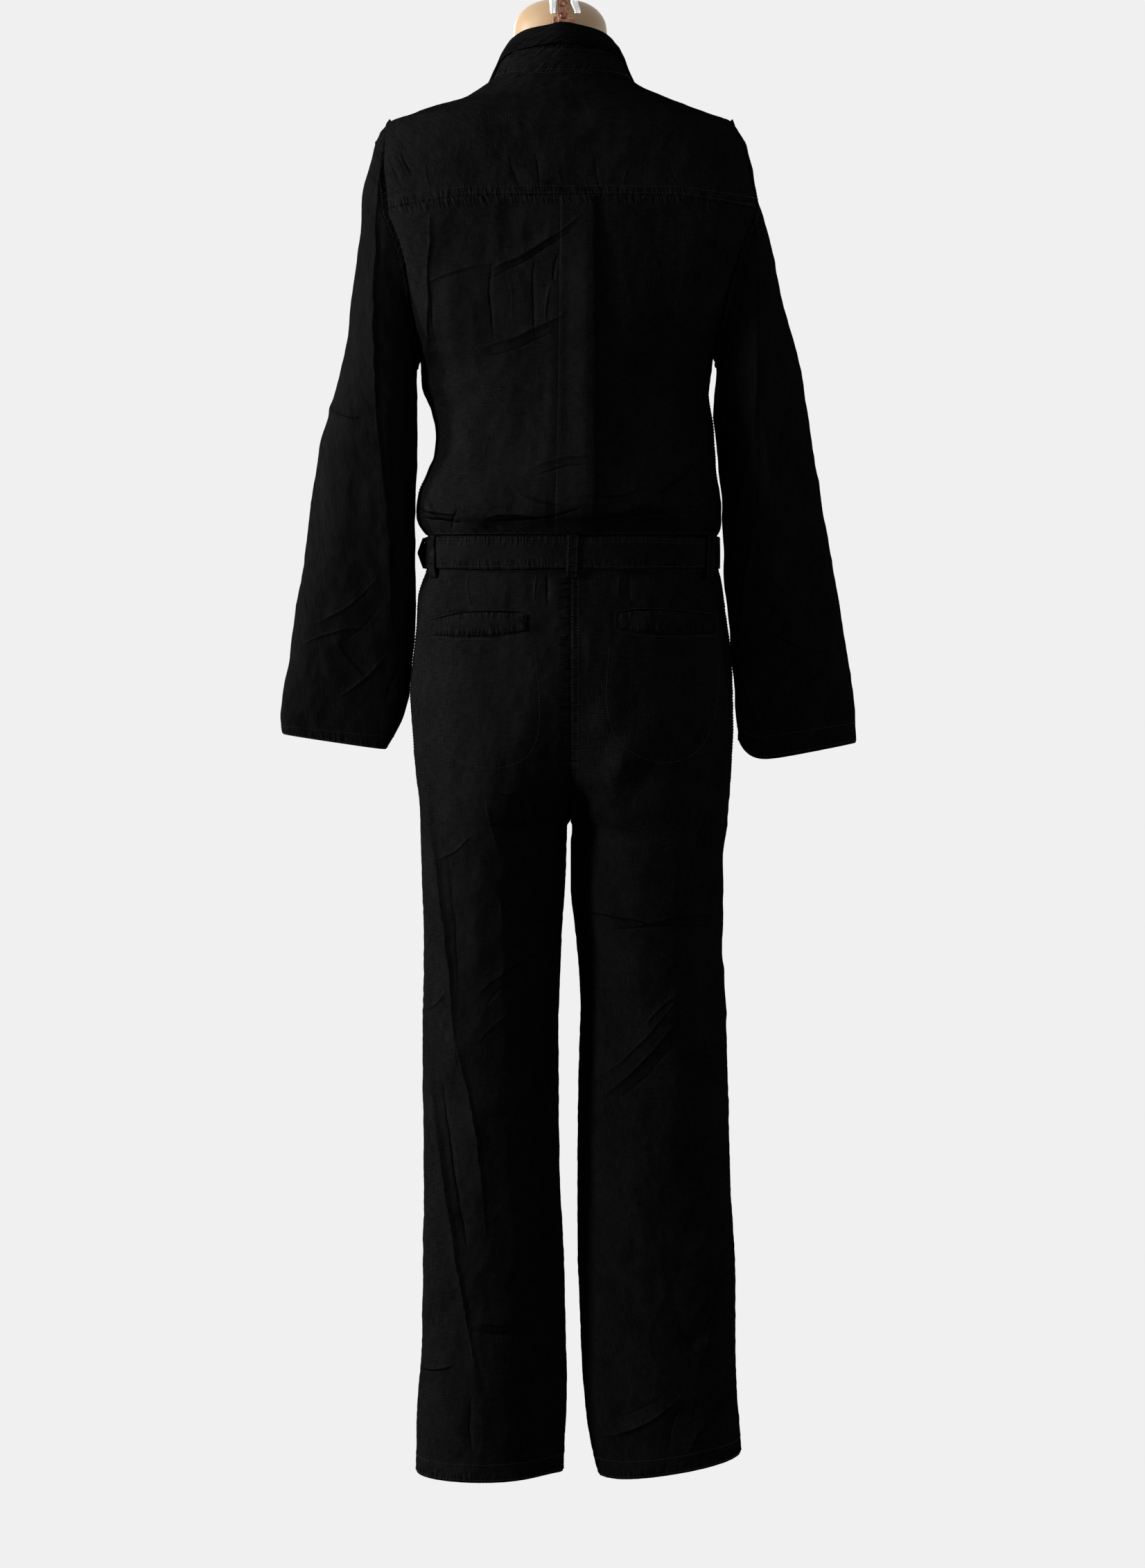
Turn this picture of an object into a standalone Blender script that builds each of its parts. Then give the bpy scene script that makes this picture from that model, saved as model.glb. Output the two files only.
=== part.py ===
"""A black twill jumpsuit hung on a smooth limbless torso form by a bracket at the form's neck.

Sizes are in millimetres until a mesh is made, then in metres. +Z is up, the garment's back faces +Y
and the wearer's left is +X. The origin is the top of the hanging eye, so every height is below zero.
"""

import math
from types import SimpleNamespace

import bpy
import numpy as np

MM = 0.001
HANG_X = 7.0  # the eye stands this far to the wearer's left of the garment's middle

# Cloth
CLOTH = 1.5
HEM_CLOTH = 2.4
SEAM = 0.15  # half of the gap between two panels that are sewn together
LIFT = 0.5  # air under a piece that lies on a panel
SQUARE = 2.3  # 2 is an ellipse, more is squarer
X, Y, Z = np.eye(3)

# Heights
NECK_SIDE = -109.0
SHOULDER_TIP = -154.0
NECK_FRONT = -165.0
YOKE_SEAM = -240.0
UNDERARM = -396.0
BODICE_END = -579.0
CROTCH = -876.0

# Bodice
YOKE_COLUMNS = 20
SIDE_COLUMNS = 8
PLEAT_TOP_X, PLEAT_END_X = -7.0, -4.5
PLEAT_TOP_HALF, PLEAT_END_HALF = 16.5, 19.5
PLEAT_UNDER = 9.0  # depth of the cloth tucked under each edge of the box
PLEAT_CLOTH = 1.1

# Belt
BELT_TOP, BELT_END = -580.3, -612.3
BELT_THICK = 2.0
BELT_AIR = 0.8
BELT_LAYER = 2.7
TONGUE_LENGTH = 208.0
LOOP_WIDTH = 12.0
LOOP_TOP, LOOP_END = -579.5, -620.0

# Front opening
PLACKET_HALF = 17.0
BUTTON_RADIUS = 7.5
BUTTON_THICK = 2.6

# Bracket
RAIL_RADIUS = 4.2
RAIL_APART = 10.35  # from the middle to each rail's axis
PLATE_BACK = 43.5
EYE_HEIGHT = -12.0


def smooth_read(along, values, where):
    """Monotone cubic through the rows of a table, so no value swings past its neighbours."""
    step = np.diff(along)
    slope = np.diff(values) / step
    tangent = np.zeros(len(values))
    same_way = slope[:-1] * slope[1:] > 0
    pair = np.where(same_way, slope[:-1] + slope[1:], 1.0)
    tangent[1:-1] = np.where(same_way, 2 * slope[:-1] * slope[1:] / pair, 0.0)
    tangent[0], tangent[-1] = slope[0], slope[-1]
    i = np.clip(np.searchsorted(along, where) - 1, 0, len(step) - 1)
    t = np.clip((where - along[i]) / step[i], 0, 1)
    return (
        values[i] * (1 + 2 * t) * (1 - t) ** 2
        + step[i] * tangent[i] * t * (1 - t) ** 2
        + values[i + 1] * t * t * (3 - 2 * t)
        - step[i] * tangent[i + 1] * t * t * (1 - t)
    )


class Sections:
    """A table of named columns, read at any place along its first column."""

    def __init__(self, columns, *rows):
        self.names = columns.split()
        self.table = np.array(sorted(rows), float)
        self.along = self.table[:, 0]

    def at(self, place):
        columns = zip(self.names, self.table.T)
        return SimpleNamespace(**{name: smooth_read(self.along, column, place) for name, column in columns})


# Half sections of the bodice. The edge is the neck side and shoulder seam, then the armhole, then the
# side seam; back_edge and front_edge say how far each half stops from the middle plane there.
BODICE = Sections(
    "height sway half back front back_edge front_edge",
    (-109, 9, 69, 60, -58, -2, -2),
    (-116, 9, 78, 64, -62, -3, -3),
    (-124, 7.5, 91.5, 69, -66, -3, -3),
    (-132, 6, 109, 74, -70, -4, -4),
    (-140, 8.5, 135, 79, -73, -5, -5),
    (-147, 10, 157, 83, -75, -6, -6),
    (-154, 10, 178, 86, -77, -6, -6),
    (-163, 9, 180, 90, -79, 13, -24),
    (-178, 7, 182, 95, -82, 30, -39),
    (-202, 4, 184.5, 101, -88, 43, -50),
    (-240, -1, 185.5, 107, -99, 54, -56),
    (-264, -1, 178, 110, -109, 60, -59),
    (-296, 0, 168, 112, -117, 62, -60),
    (-328, 2, 161, 112, -120, 59, -57),
    (-358, 3, 156, 111, -119, 49, -47),
    (-382, 4, 152, 110, -116, 31, -30),
    (-396, 4, 150, 109, -114, 0, 0),
    (-427, 5, 147, 107, -109, 0, 0),
    (-450, -1, 143, 105, -106, 0, 0),
    (-473, -5, 142.4, 104, -104, 0, 0),
    (-495, -4.5, 144, 104, -103, 0, 0),
    (-516, -1, 149, 107, -104, 0, 0),
    (-536, 1.7, 154.3, 111, -107, 0, 0),
    (-551, 1.5, 156, 115, -110, 0, 0),
    (-560, 1.5, 156, 114, -109, 0, 0),
    (-566, 0.7, 155.3, 106, -102, 0, 0),
    (-572, -0.5, 153, 101, -94, 0, 0),
    (-579, -2, 149, 98, -90.5, 0, 0),
)
YOKE_ROWS = (-109, -116, -124, -132, -140, -147, -154, -163, -178, -202, YOKE_SEAM + SEAM)
ARMHOLE_ROWS = (-154, -163, -178, -202, -240, -264, -296, -328, -358, -382, -396)
BACK_ROWS = (YOKE_SEAM - SEAM, -264, -296, -328, -358, -382, -396, -427, -450, -473, -495, -516, -536, -551,
             -560, -566, -572, -579)
FRONT_ROWS = (-109.3, -116, -124, -132, -140, -147, -154, -163, -178, -202, -240) + BACK_ROWS[1:]

# Half width of the neck opening in front, from the neck side down to the centre front
FRONT_NECK = Sections("height half", (-109, 69), (-116, 66), (-124, 60), (-132, 52), (-140, 43), (-147, 34),
                      (-154, 25), (-160, 14), (-165, 0))

# One trouser side: the outseam, the middle of the leg's section, and its depths. Above the crotch the
# section is cut at the centre seam, and it closes into a leg as its middle moves out.
LEG_LEFT = Sections(
    "height outer middle back front",
    (-579.4, 147, 0, 97.5, -90),
    (-612, 147.5, 0, 97.5, -90),
    (-625, 151.5, 0, 99, -91),
    (-640, 156, 0, 101, -93),
    (-672, 158, 0, 105, -96),
    (-700, 161, 0, 110, -99),
    (-740, 164.5, 2, 114, -102),
    (-775, 162, 18, 115, -103),
    (-805, 160, 38, 113, -102),
    (-830, 157.5, 55, 109, -99),
    (-850, 155, 67, 105, -96),
    (-865, 154, 74.5, 102, -93),
    (-876, 153.8, 78.7, 100, -91),
    (-930, 152.5, 79, 94, -86),
    (-1000, 150.5, 80, 86, -80),
    (-1080, 151.5, 82, 79, -74),
    (-1160, 151, 82, 73, -69),
    (-1250, 150.5, 80.5, 67, -64),
    (-1340, 151, 78.5, 61, -60),
    (-1410, 152.5, 78.5, 57, -57),
    (-1470, 157, 80.5, 55, -56),
    (-1520, 158.5, 82.5, 54, -55),
    (-1538, 159, 83, 54, -55),
)
LEG_RIGHT = Sections(
    "height outer middle back front",
    (-579.4, 151, 0, 97.5, -90),
    (-612, 151.5, 0, 97.5, -90),
    (-625, 154.5, 0, 99, -91),
    (-660, 159.5, 0, 104, -95),
    (-700, 164.5, 0, 110, -99),
    (-740, 166.5, 2, 114, -102),
    (-775, 167, 18, 115, -103),
    (-805, 165.5, 38, 113, -102),
    (-830, 164, 55, 109, -99),
    (-850, 162.5, 67, 105, -96),
    (-865, 161, 75.5, 102, -93),
    (-876, 160.2, 80.8, 100, -91),
    (-905, 155.8, 77.2, 97, -88),
    (-930, 155.5, 77.4, 94, -86),
    (-1000, 155, 81, 86, -80),
    (-1080, 159.5, 84.8, 79, -74),
    (-1160, 162, 85, 73, -69),
    (-1250, 164.5, 85.8, 67, -64),
    (-1340, 169.5, 89, 61, -60),
    (-1410, 169.5, 90.3, 57, -57),
    (-1470, 171, 93.5, 56, -56),
    (-1512, 174.5, 99, 54, -55),
    (-1530, 175.5, 102, 53, -54),
)
LEG_SQUARE = 2.15
LEG_COLUMNS = 10
LEG_ROWS = (-579.4, -612, -640, -672, -706, -740, -775, -805, -830, -850, -865, CROTCH, -930, -990, -1050,
            -1110, -1170, -1235, -1300, -1365, -1420, -1468, -1512)
LEFT_HEM, RIGHT_HEM = -1538, -1530
RIGHT_HEM_SLANT = 23.0  # how much higher the right hem is at its outseam than at its inseam
SLANT_START = -1300.0

# Rings of an empty sleeve: the outer and inner ends of each slanting section, its depths, how round
# it is, and how far it has left the armhole's own shape.
SLEEVE_LEFT = Sections(
    "ring outer_x outer_z inner_x inner_z back front square leave droop",
    (0, 188, -154, 154, -396, 62, -60, 2.0, 0, 0),
    (1, 197, -169, 156, -403, 64, -60, 2.0, 0.0, 0),
    (2, 204.5, -194, 156.5, -411, 66, -61, 1.9, 0.1, 0),
    (3, 212.5, -228, 157, -421, 67, -61, 1.75, 0.3, 0),
    (4, 216, -272, 157, -435, 67, -60, 1.65, 0.5, 0),
    (5, 224, -328, 157, -456, 66, -58, 1.55, 0.7, 0),
    (6, 230.5, -383, 157, -480, 64, -55, 1.5, 0.88, 0),
    (7, 243.5, -436, 157.5, -507, 61, -52, 1.5, 1, 0),
    (8, 255.5, -476, 159.5, -536, 57, -48, 1.5, 1, 0),
    (9, 263.5, -528, 160, -572, 51, -43, 1.5, 1, 0),
    (10, 270.5, -582, 159.8, -614, 44, -38, 1.55, 1, 0),
    (11, 280, -637, 160, -658, 36, -32, 1.6, 1, 0),
    (12, 287.5, -690, 163.2, -702, 29, -26, 1.75, 1, 1),
    (13, 295, -738, 167, -738, 23, -21, 1.9, 1, 6),
    (14, 298.5, -766, 172, -755, 19, -17, 2, 1, 18),
    (15, 297, -783, 176, -770, 17, -16, 2, 1, 34),
)
SLEEVE_RIGHT = Sections(
    "ring outer_x outer_z inner_x inner_z back front square leave droop",
    (0, 168, -154, 146, -396, 62, -60, 2.0, 0, 0),
    (1, 175, -169, 149, -403, 64, -60, 2.0, 0.0, 0),
    (2, 180.5, -194, 150, -411, 66, -61, 1.9, 0.1, 0),
    (3, 190, -228, 149, -421, 67, -61, 1.75, 0.25, 0),
    (4, 203, -272, 147.5, -435, 67, -60, 1.65, 0.45, 0),
    (5, 216, -328, 147, -456, 66, -58, 1.55, 0.65, 0),
    (6, 230, -383, 150, -480, 64, -55, 1.5, 0.85, 0),
    (7, 238.5, -430, 152.5, -507, 61, -52, 1.5, 1, 0),
    (8, 247, -476, 155, -536, 57, -48, 1.5, 1, 0),
    (9, 256, -528, 157, -572, 51, -43, 1.5, 1, 0),
    (10, 265, -582, 158, -614, 44, -38, 1.55, 1, 0),
    (11, 274.5, -637, 162, -658, 36, -32, 1.6, 1, 0),
    (12, 283.5, -690, 165, -702, 29, -26, 1.75, 1, 1),
    (13, 290.5, -738, 168, -742, 23, -21, 1.9, 1, 4),
    (14, 293, -766, 171, -774, 19, -17, 2, 1, 13),
    (15, 295, -788, 173, -792, 17, -16, 2, 1, 25),
)
SLEEVE_FORWARD = 14.0  # the cuffs hang this far in front of the armholes

# The collar's sections from centre back (0) to centre front (1): steps out from and up from the neck seam
COLLAR = Sections(
    "share stand_out stand_up roll_out roll_up edge_out edge_up edge_back",
    (0.0, -2.5, 24.5, -5, 49, 1.5, 28.5, 0),
    (0.2, -7, 24.5, -14, 43, -5, 23.5, 0),
    (0.33, -10, 24, -19, 39.5, -6, 18, 0),
    (0.45, -10, 23.5, -17, 37, -1, 9, 0),
    (0.5, -9, 23.5, -16, 36, 6, -2.5, 0),
    (0.62, -8, 24, -14, 34, 18, -8, 0),
    (0.8, -6, 25, -9, 33, 24, -24, 6),
    (1.0, -4, 26, -5, 32, 14, -34, 26),
)
COLLAR_COLUMNS = 25
COLLAR_CLOTH = 1.4
ROLL_RADIUS = 1.8

# The torso form below its shoulders, and its neck
FORM_BODY = Sections(
    "height sway half back front back_edge front_edge",
    (-163, 9, 174, 86, -74, 10, -20),
    (-180, 8, 175, 91, -77, 24, -32),
    (-205, 6, 174, 97, -83, 36, -42),
    (-245, 4, 168, 102, -95, 45, -48),
    (-300, 4, 156, 104, -110, 44, -45),
    (-355, 4, 145, 103, -112, 26, -26),
    (-400, 4, 138, 99, -105, 0, 0),
    (-455, 4, 131, 95, -96, 0, 0),
    (-520, 3, 124, 90, -87, 0, 0),
    (-590, 2, 127, 90, -84, 0, 0),
    (-660, 1, 141, 98, -88, 0, 0),
    (-730, 0, 147, 103, -92, 0, 0),
    (-785, 0, 144, 98, -86, 0, 0),
    (-814, 0, 122, 80, -68, 0, 0),
    (-826, 0, 84, 52, -42, 0, 0),
)
FORM_NECK = Sections(
    "height half back front",
    (-29, 17, 14, -16),
    (-33, 29, 24, -27),
    (-40, 39, 33, -37),
    (-50, 45.8, 39.5, -45),
    (-62, 47.9, 42, -49),
    (-78, 48, 43, -51),
    (-96, 49.5, 43.5, -53),
    (-106, 56, 46, -56),
)
FORM_TOP, FORM_END = -28.0, -831.0
NECK_X = 10.5
FORM_AIR = 0.4  # between the form's shoulders and the yoke that rests on them
FORM_FRONT_AIR = 2.4
FORM_THROAT = 4.5  # how much further back the form stays behind the collar's front
FORM_COLUMNS = 20  # in each half

# Soft folds: from one end to the other in the plane seen from behind, then width and height in mm
FOLD_COLUMNS = "x0 z0 x1 z1 width height"
BACK_FOLDS = (
    (-7, -254, 78, -300, 11, -4),
    (5, -350, 93, -382, 11, -3.5),
    (80, -305, 80, -368, 9, -4),
    (36, -308, 36, -368, 9, -4),
    (-28, -500, 48, -512, 9, -5),
    (-141, -492, -90, -522, 11, -4),
)
SEAT_FOLDS_LEFT = (
    (118, -880, 128, -1150, 12, 7),
    (98, -890, 104, -1130, 12, -6),
    (128, -1150, 102, -1400, 13, 8),
    (86, -1000, 60, -1080, 14, -5),
    (40, -1190, 120, -1230, 12, -4),
)
SEAT_FOLDS_RIGHT = (
    (-104, -744, -32, -832, 14, 7),
    (-84, -800, -56, -850, 12, -6),
    (-133, -1018, -34, -1140, 13, -6),
    (-172, -1310, -118, -1400, 13, -7),
    (-36, -1490, -92, -1456, 11, -4),
)
FRONT_LEG_FOLDS = (
    (30, -780, 120, -720, 14, 5),
    (70, -900, 96, -1140, 13, 6),
    (40, -1130, 120, -1180, 13, -5),
    (110, -1260, 60, -1400, 13, 6),
)
FRONT_FOLDS = (
    (60, -190, 110, -260, 14, 4),
    (40, -300, 120, -380, 14, -4),
    (30, -500, 110, -514, 10, -5),
)
SLEEVE_FOLDS_LEFT = (
    (198, -330, 216, -450, 14, -5),
    (190, -640, 260, -690, 12, -4),
    (200, -730, 270, -700, 11, 4),
)
SLEEVE_FOLDS_RIGHT = (
    (-184, -300, -190, -420, 14, -5),
    (-180, -610, -250, -660, 12, -4),
    (-200, -735, -265, -700, 11, 4),
)

# name, red, green, blue, metallic, roughness
FINISHES = (
    ("twill", 0.008, 0.008, 0.010, 0.0, 0.85),
    ("button_horn", 0.010, 0.010, 0.011, 0.0, 0.35),
    ("buckle_metal", 0.020, 0.020, 0.022, 1.0, 0.35),
    ("form_skin", 0.80, 0.62, 0.42, 0.0, 0.45),
    ("rail_steel", 0.78, 0.80, 0.80, 1.0, 0.20),
    ("plate_bronze", 0.30, 0.15, 0.08, 1.0, 0.45),
)
MATERIALS = {}
PANELS = {}


def add_materials():
    for name, red, green, blue, metallic, roughness in FINISHES:
        material = bpy.data.materials.new(name)
        material.use_nodes = True
        shader = material.node_tree.nodes["Principled BSDF"]
        shader.inputs["Base Color"].default_value = (red, green, blue, 1.0)
        shader.inputs["Metallic"].default_value = metallic
        shader.inputs["Roughness"].default_value = roughness
        material.diffuse_color = (red, green, blue, 1.0)
        MATERIALS[name] = material


def unit(vectors):
    return vectors / np.maximum(np.linalg.norm(vectors, axis=-1, keepdims=True), 1e-9)


def volume(points, faces):
    corners = points[np.array(faces)]
    return np.sum(corners[:, 0] * np.cross(corners[:, 1], corners[:, 2])) / 6


def add_solid(name, points, faces, finish):
    """One closed mesh of triangles, turned to face out and moved so that the eye is over the origin."""
    if volume(points, faces) < 0:
        faces = [face[::-1] for face in faces]
    mesh = bpy.data.meshes.new(name)
    mesh.from_pydata(((points - HANG_X * X) * MM).tolist(), [], faces)
    mesh.materials.append(MATERIALS[finish])
    mesh.shade_smooth()
    mesh.set_sharp_from_angle(angle=math.radians(42))
    thing = bpy.data.objects.new(name, mesh)
    bpy.context.scene.collection.objects.link(thing)
    return thing


def cells(rows, columns, start=0, closed=False):
    """Two triangles for each cell of a grid of points."""
    found = []
    for i in range(rows - 1):
        for j in range(columns if closed else columns - 1):
            k = (j + 1) % columns
            a, b = start + i * columns + j, start + i * columns + k
            found += [(a, b, b + columns), (a, b + columns, a + columns)]
    return found


def grid_normals(grid, core, closed=False):
    """Outward unit normals at a grid's points; core lies inside, as one point or one for each row."""
    if closed:
        across = np.roll(grid, -1, axis=1) - np.roll(grid, 1, axis=1)
    else:
        across = np.gradient(grid, axis=1)
    normal = unit(np.cross(across, np.gradient(grid, axis=0)))
    return normal if np.sum(normal * (grid - core)) > 0 else -normal


def pinned(normal, grid, edge, axes, core):
    """Keeps the wall at a seam inside the seam's plane: axes holds that plane's normal at each point."""
    line = grid[edge]
    square = unit(np.cross(np.gradient(line, axis=0), axes))
    away = line - np.broadcast_to(core, grid.shape)[edge]
    normal[edge] = square * np.where(np.sum(square * away, axis=-1, keepdims=True) < 0, -1, 1)


def add_wall(name, outer, inner, finish="twill", closed=False):
    """A closed cloth wall between two grids of points."""
    rows, columns = outer.shape[:2]
    count = rows * columns
    points = np.concatenate([outer.reshape(-1, 3), inner.reshape(-1, 3)])
    faces = cells(rows, columns, closed=closed)
    faces += [face[::-1] for face in cells(rows, columns, count, closed)]
    for row in (0, rows - 1):
        for j in range(columns if closed else columns - 1):
            a, b = row * columns + j, row * columns + (j + 1) % columns
            rim = [(a, a + count, b + count), (a, b + count, b)]
            faces += rim if row == 0 else [face[::-1] for face in rim]
    if not closed:
        for column in (0, columns - 1):
            for i in range(rows - 1):
                a, b = i * columns + column, (i + 1) * columns + column
                rim = [(a, b, b + count), (a, b + count, a + count)]
                faces += rim if column == 0 else [face[::-1] for face in rim]
    return add_solid(name, points, faces, finish)


def add_rings(name, rings, top, end, finish):
    """A solid through closed rings, drawn to a point at each end."""
    rows, columns = rings.shape[:2]
    points = np.concatenate([rings.reshape(-1, 3), [top, end]])
    faces = cells(rows, columns, closed=True)
    last = (rows - 1) * columns
    for j in range(columns):
        k = (j + 1) % columns
        faces += [(k, j, rows * columns), (last + j, last + k, rows * columns + 1)]
    return add_solid(name, points, faces, finish)


def evenly(points, shares):
    """Points at the given shares of a line's length."""
    steps = np.linalg.norm(np.diff(points, axis=0), axis=1)
    length = np.concatenate([[0], np.cumsum(steps)])
    where = np.atleast_1d(shares) * length[-1]
    return np.column_stack([np.interp(where, length, points[:, i]) for i in range(3)])


def fold(grid, normal, folds, side_edges=True):
    """Raises soft ridges and presses soft troughs into a grid, fading out at the seams."""
    push = np.zeros(grid.shape[:2])
    for row in folds:
        f = SimpleNamespace(**dict(zip(FOLD_COLUMNS.split(), row)))
        start, run = np.array([f.x0, f.z0]), np.array([f.x1 - f.x0, f.z1 - f.z0])
        seen = grid[..., [0, 2]] - start
        share = np.clip(seen @ run / (run @ run), 0, 1)
        away = np.linalg.norm(seen - share[..., None] * run, axis=-1)
        push += f.height * np.exp(-((away / f.width) ** 2)) * (0.35 + 0.65 * np.sin(math.pi * share))
    rows, columns = push.shape
    calm = np.minimum(1, np.sin(math.pi * np.linspace(0, 1, rows)) * 4)[:, None]
    if side_edges:
        calm = calm * np.minimum(1, np.sin(math.pi * np.linspace(0, 1, columns)) * 3)[None, :]
    return grid + normal * (push * calm)[..., None]


def half_section(height, back, side, lines=BODICE, count=120):
    """Half of a horizontal section of the bodice or the form, from the centre line to its edge."""
    s = lines.at(height)
    depth, edge = (s.back, s.back_edge) if back else (s.front, s.front_edge)
    turn = np.linspace(0, math.pi / 2, count)
    x = s.sway + side * s.half * np.sin(turn) ** (2 / SQUARE)
    y = edge + (depth - edge) * np.cos(turn) ** (2 / SQUARE)
    return np.column_stack([x, y, np.full(count, float(height))])


def whole_back(height, lines=BODICE):
    """The back of a section, from the wearer's left edge to the right edge."""
    left = half_section(height, True, 1, lines)
    right = half_section(height, True, -1, lines)
    return np.concatenate([left[::-1], right[1:]])


def seamed(line):
    """Draws a back or front line's edges back from the seam that lies in the plane of its last point."""
    line = line.copy()
    toward = np.sign(line[len(line) // 2, 1] - line[-1, 1])
    line[[0, -1], 1] += toward * SEAM
    return line


def axis_core(heights, x=0.0, y=0.0, up=0.0):
    """One point inside the garment for each row of a grid."""
    return np.array([[(x, y, height + up)] for height in heights], float)


def add_yoke():
    shares = np.linspace(0, 1, YOKE_COLUMNS)
    grid = np.array([seamed(evenly(whole_back(height), shares)) for height in YOKE_ROWS])
    core = axis_core(YOKE_ROWS, up=-60)
    normal = grid_normals(grid, core)
    pinned(normal, grid, np.s_[:, 0], Y, core)
    pinned(normal, grid, np.s_[:, -1], Y, core)
    pinned(normal, grid, np.s_[-1], Z, core)
    pinned(normal, grid, np.s_[0], Z, core)
    PANELS["yoke"] = grid
    add_wall("yoke", grid, grid - normal * CLOTH)


def pleat_side(half, lift):
    """One edge of the box pleat, from the panel in to the middle: out and in are its two faces."""
    crown = lift + 2 * PLEAT_CLOTH + 0.25
    tuck = half - PLEAT_UNDER
    face = [(half + 6, 0), (tuck, 0), (tuck, lift), (half - 0.8, lift), (half + 0.4, (lift + crown) / 2),
            (half - 0.8, crown), (half * 0.5, crown + 0.15)]
    back = [(half + 6, -PLEAT_CLOTH), (tuck - PLEAT_CLOTH, -PLEAT_CLOTH),
            (tuck - PLEAT_CLOTH, lift + PLEAT_CLOTH), (half - 1.9, lift + PLEAT_CLOTH),
            (half - 1.4, (lift + crown) / 2), (half - 1.9, crown - PLEAT_CLOTH),
            (half * 0.5, crown + 0.15 - PLEAT_CLOTH)]
    return np.array(face), np.array(back)


def back_row(height):
    """A section of the back panel with its box pleat, as a line of outer points and one of inner points."""
    line = whole_back(height)
    down = (YOKE_SEAM - height) / (YOKE_SEAM - BODICE_END)
    middle = PLEAT_TOP_X + (PLEAT_END_X - PLEAT_TOP_X) * down
    half = PLEAT_TOP_HALF + (PLEAT_END_HALF - PLEAT_TOP_HALF) * down
    open_up = math.sin(math.pi * min(1, max(0, down))) ** 0.7
    outer, inner = [], []
    for side, lift in ((1, 0.35 + 0.9 * open_up), (-1, 0.35 + 2.8 * open_up)):
        face, back = pleat_side(half, lift)
        plain = line[(line[:, 0] - middle) * side > half + 6.2][::side]
        spread = evenly(plain, np.linspace(0, 1, SIDE_COLUMNS)[:-1])
        spread[0, 1] += SEAM
        box_x = middle + side * face[:, 0]
        box_y = np.interp(-box_x, -line[:, 0], line[:, 1]) + face[:, 1]
        in_x = middle + side * back[:, 0]
        in_y = np.interp(-in_x, -line[:, 0], line[:, 1]) + back[:, 1]
        box = np.column_stack([box_x, box_y, np.full(len(box_x), float(height))])
        inside = np.column_stack([in_x, in_y, np.full(len(in_x), float(height))])
        run = np.concatenate([spread, box])
        outer.append(run)
        inner.append((len(spread), inside))
    left, right = outer
    centre = (left[-1] + right[-1]) / 2
    full = np.concatenate([left, [centre], right[::-1]])
    middle_in = (inner[0][1][-1] + inner[1][1][-1]) / 2
    box_in = np.concatenate([inner[0][1], [middle_in], inner[1][1][::-1]])
    return full, inner[0][0], box_in


def add_back_panel():
    rows = [back_row(height) for height in BACK_ROWS]
    grid = np.array([row[0] for row in rows])
    lead = rows[0][1]
    core = axis_core(BACK_ROWS)
    normal = grid_normals(grid, core)
    shift = fold(grid, normal, BACK_FOLDS) - grid
    shift[:, lead:-lead] = 0
    for column in (0, -1):
        pinned(normal, grid, np.s_[:, column], Y, core)
    for row in (0, -1):
        normal[row, :, 2] = 0
    inner = grid - unit(normal) * CLOTH + shift
    grid = grid + shift
    for i, row in enumerate(rows):
        inner[i, lead:-lead] = row[2]
    PANELS["back_panel"] = grid
    add_wall("back_panel", grid, inner)


def neck_half(height):
    return float(FRONT_NECK.at(max(height, NECK_FRONT)).half) if height > NECK_FRONT else 0.0


def front_row(height, side):
    line = half_section(height, False, side)
    sway = float(BODICE.at(height).sway)
    start = max(neck_half(height), SEAM)
    reach = np.abs(line[:, 0] - sway)
    first = np.array([[sway + side * start, np.interp(start, reach, line[:, 1]), height]])
    line = np.concatenate([first, line[reach > start + 0.01]])
    line = evenly(line, np.linspace(0, 1, SIDE_COLUMNS + 1))
    line[-1, 1] -= SEAM
    return line


def add_front(name, side):
    grid = np.array([front_row(height, side) for height in FRONT_ROWS])
    core = axis_core(FRONT_ROWS, x=side * 20, up=-40)
    normal = grid_normals(grid, core)
    folds = [(side * x0, z0, side * x1, z1, width, height) for x0, z0, x1, z1, width, height in FRONT_FOLDS]
    grid = fold(grid, normal, folds)
    normal = grid_normals(grid, core)
    below = np.array(FRONT_ROWS) <= NECK_FRONT
    along_neck = normal[~below, 0].copy()
    pinned(normal, grid, np.s_[:, 0], X, core)
    normal[~below, 0] = along_neck
    pinned(normal, grid, np.s_[:, -1], Y, core)
    for row in (0, -1):
        normal[row, :, 2] = 0
    normal = unit(normal)
    PANELS[name] = grid
    add_wall(name, grid, grid - normal * CLOTH)


def armhole(side):
    """The armhole from the shoulder tip down its back edge and up its front edge, with each point's turn."""
    top, end = ARMHOLE_ROWS[0], ARMHOLE_ROWS[-1]
    middle, half = (top + end) / 2, (top - end) / 2
    loop, turn = [], []
    for rows, back in ((ARMHOLE_ROWS, True), (ARMHOLE_ROWS[-2:0:-1], False)):
        for height in rows:
            s = BODICE.at(height)
            y = s.back_edge if back else s.front_edge
            loop.append((s.sway + side * s.half, y, height))
            angle = math.acos(np.clip((height - middle) / half, -1, 1))
            turn.append(angle if back else 2 * math.pi - angle)
    return np.array(loop, float), np.array(turn)


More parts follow.
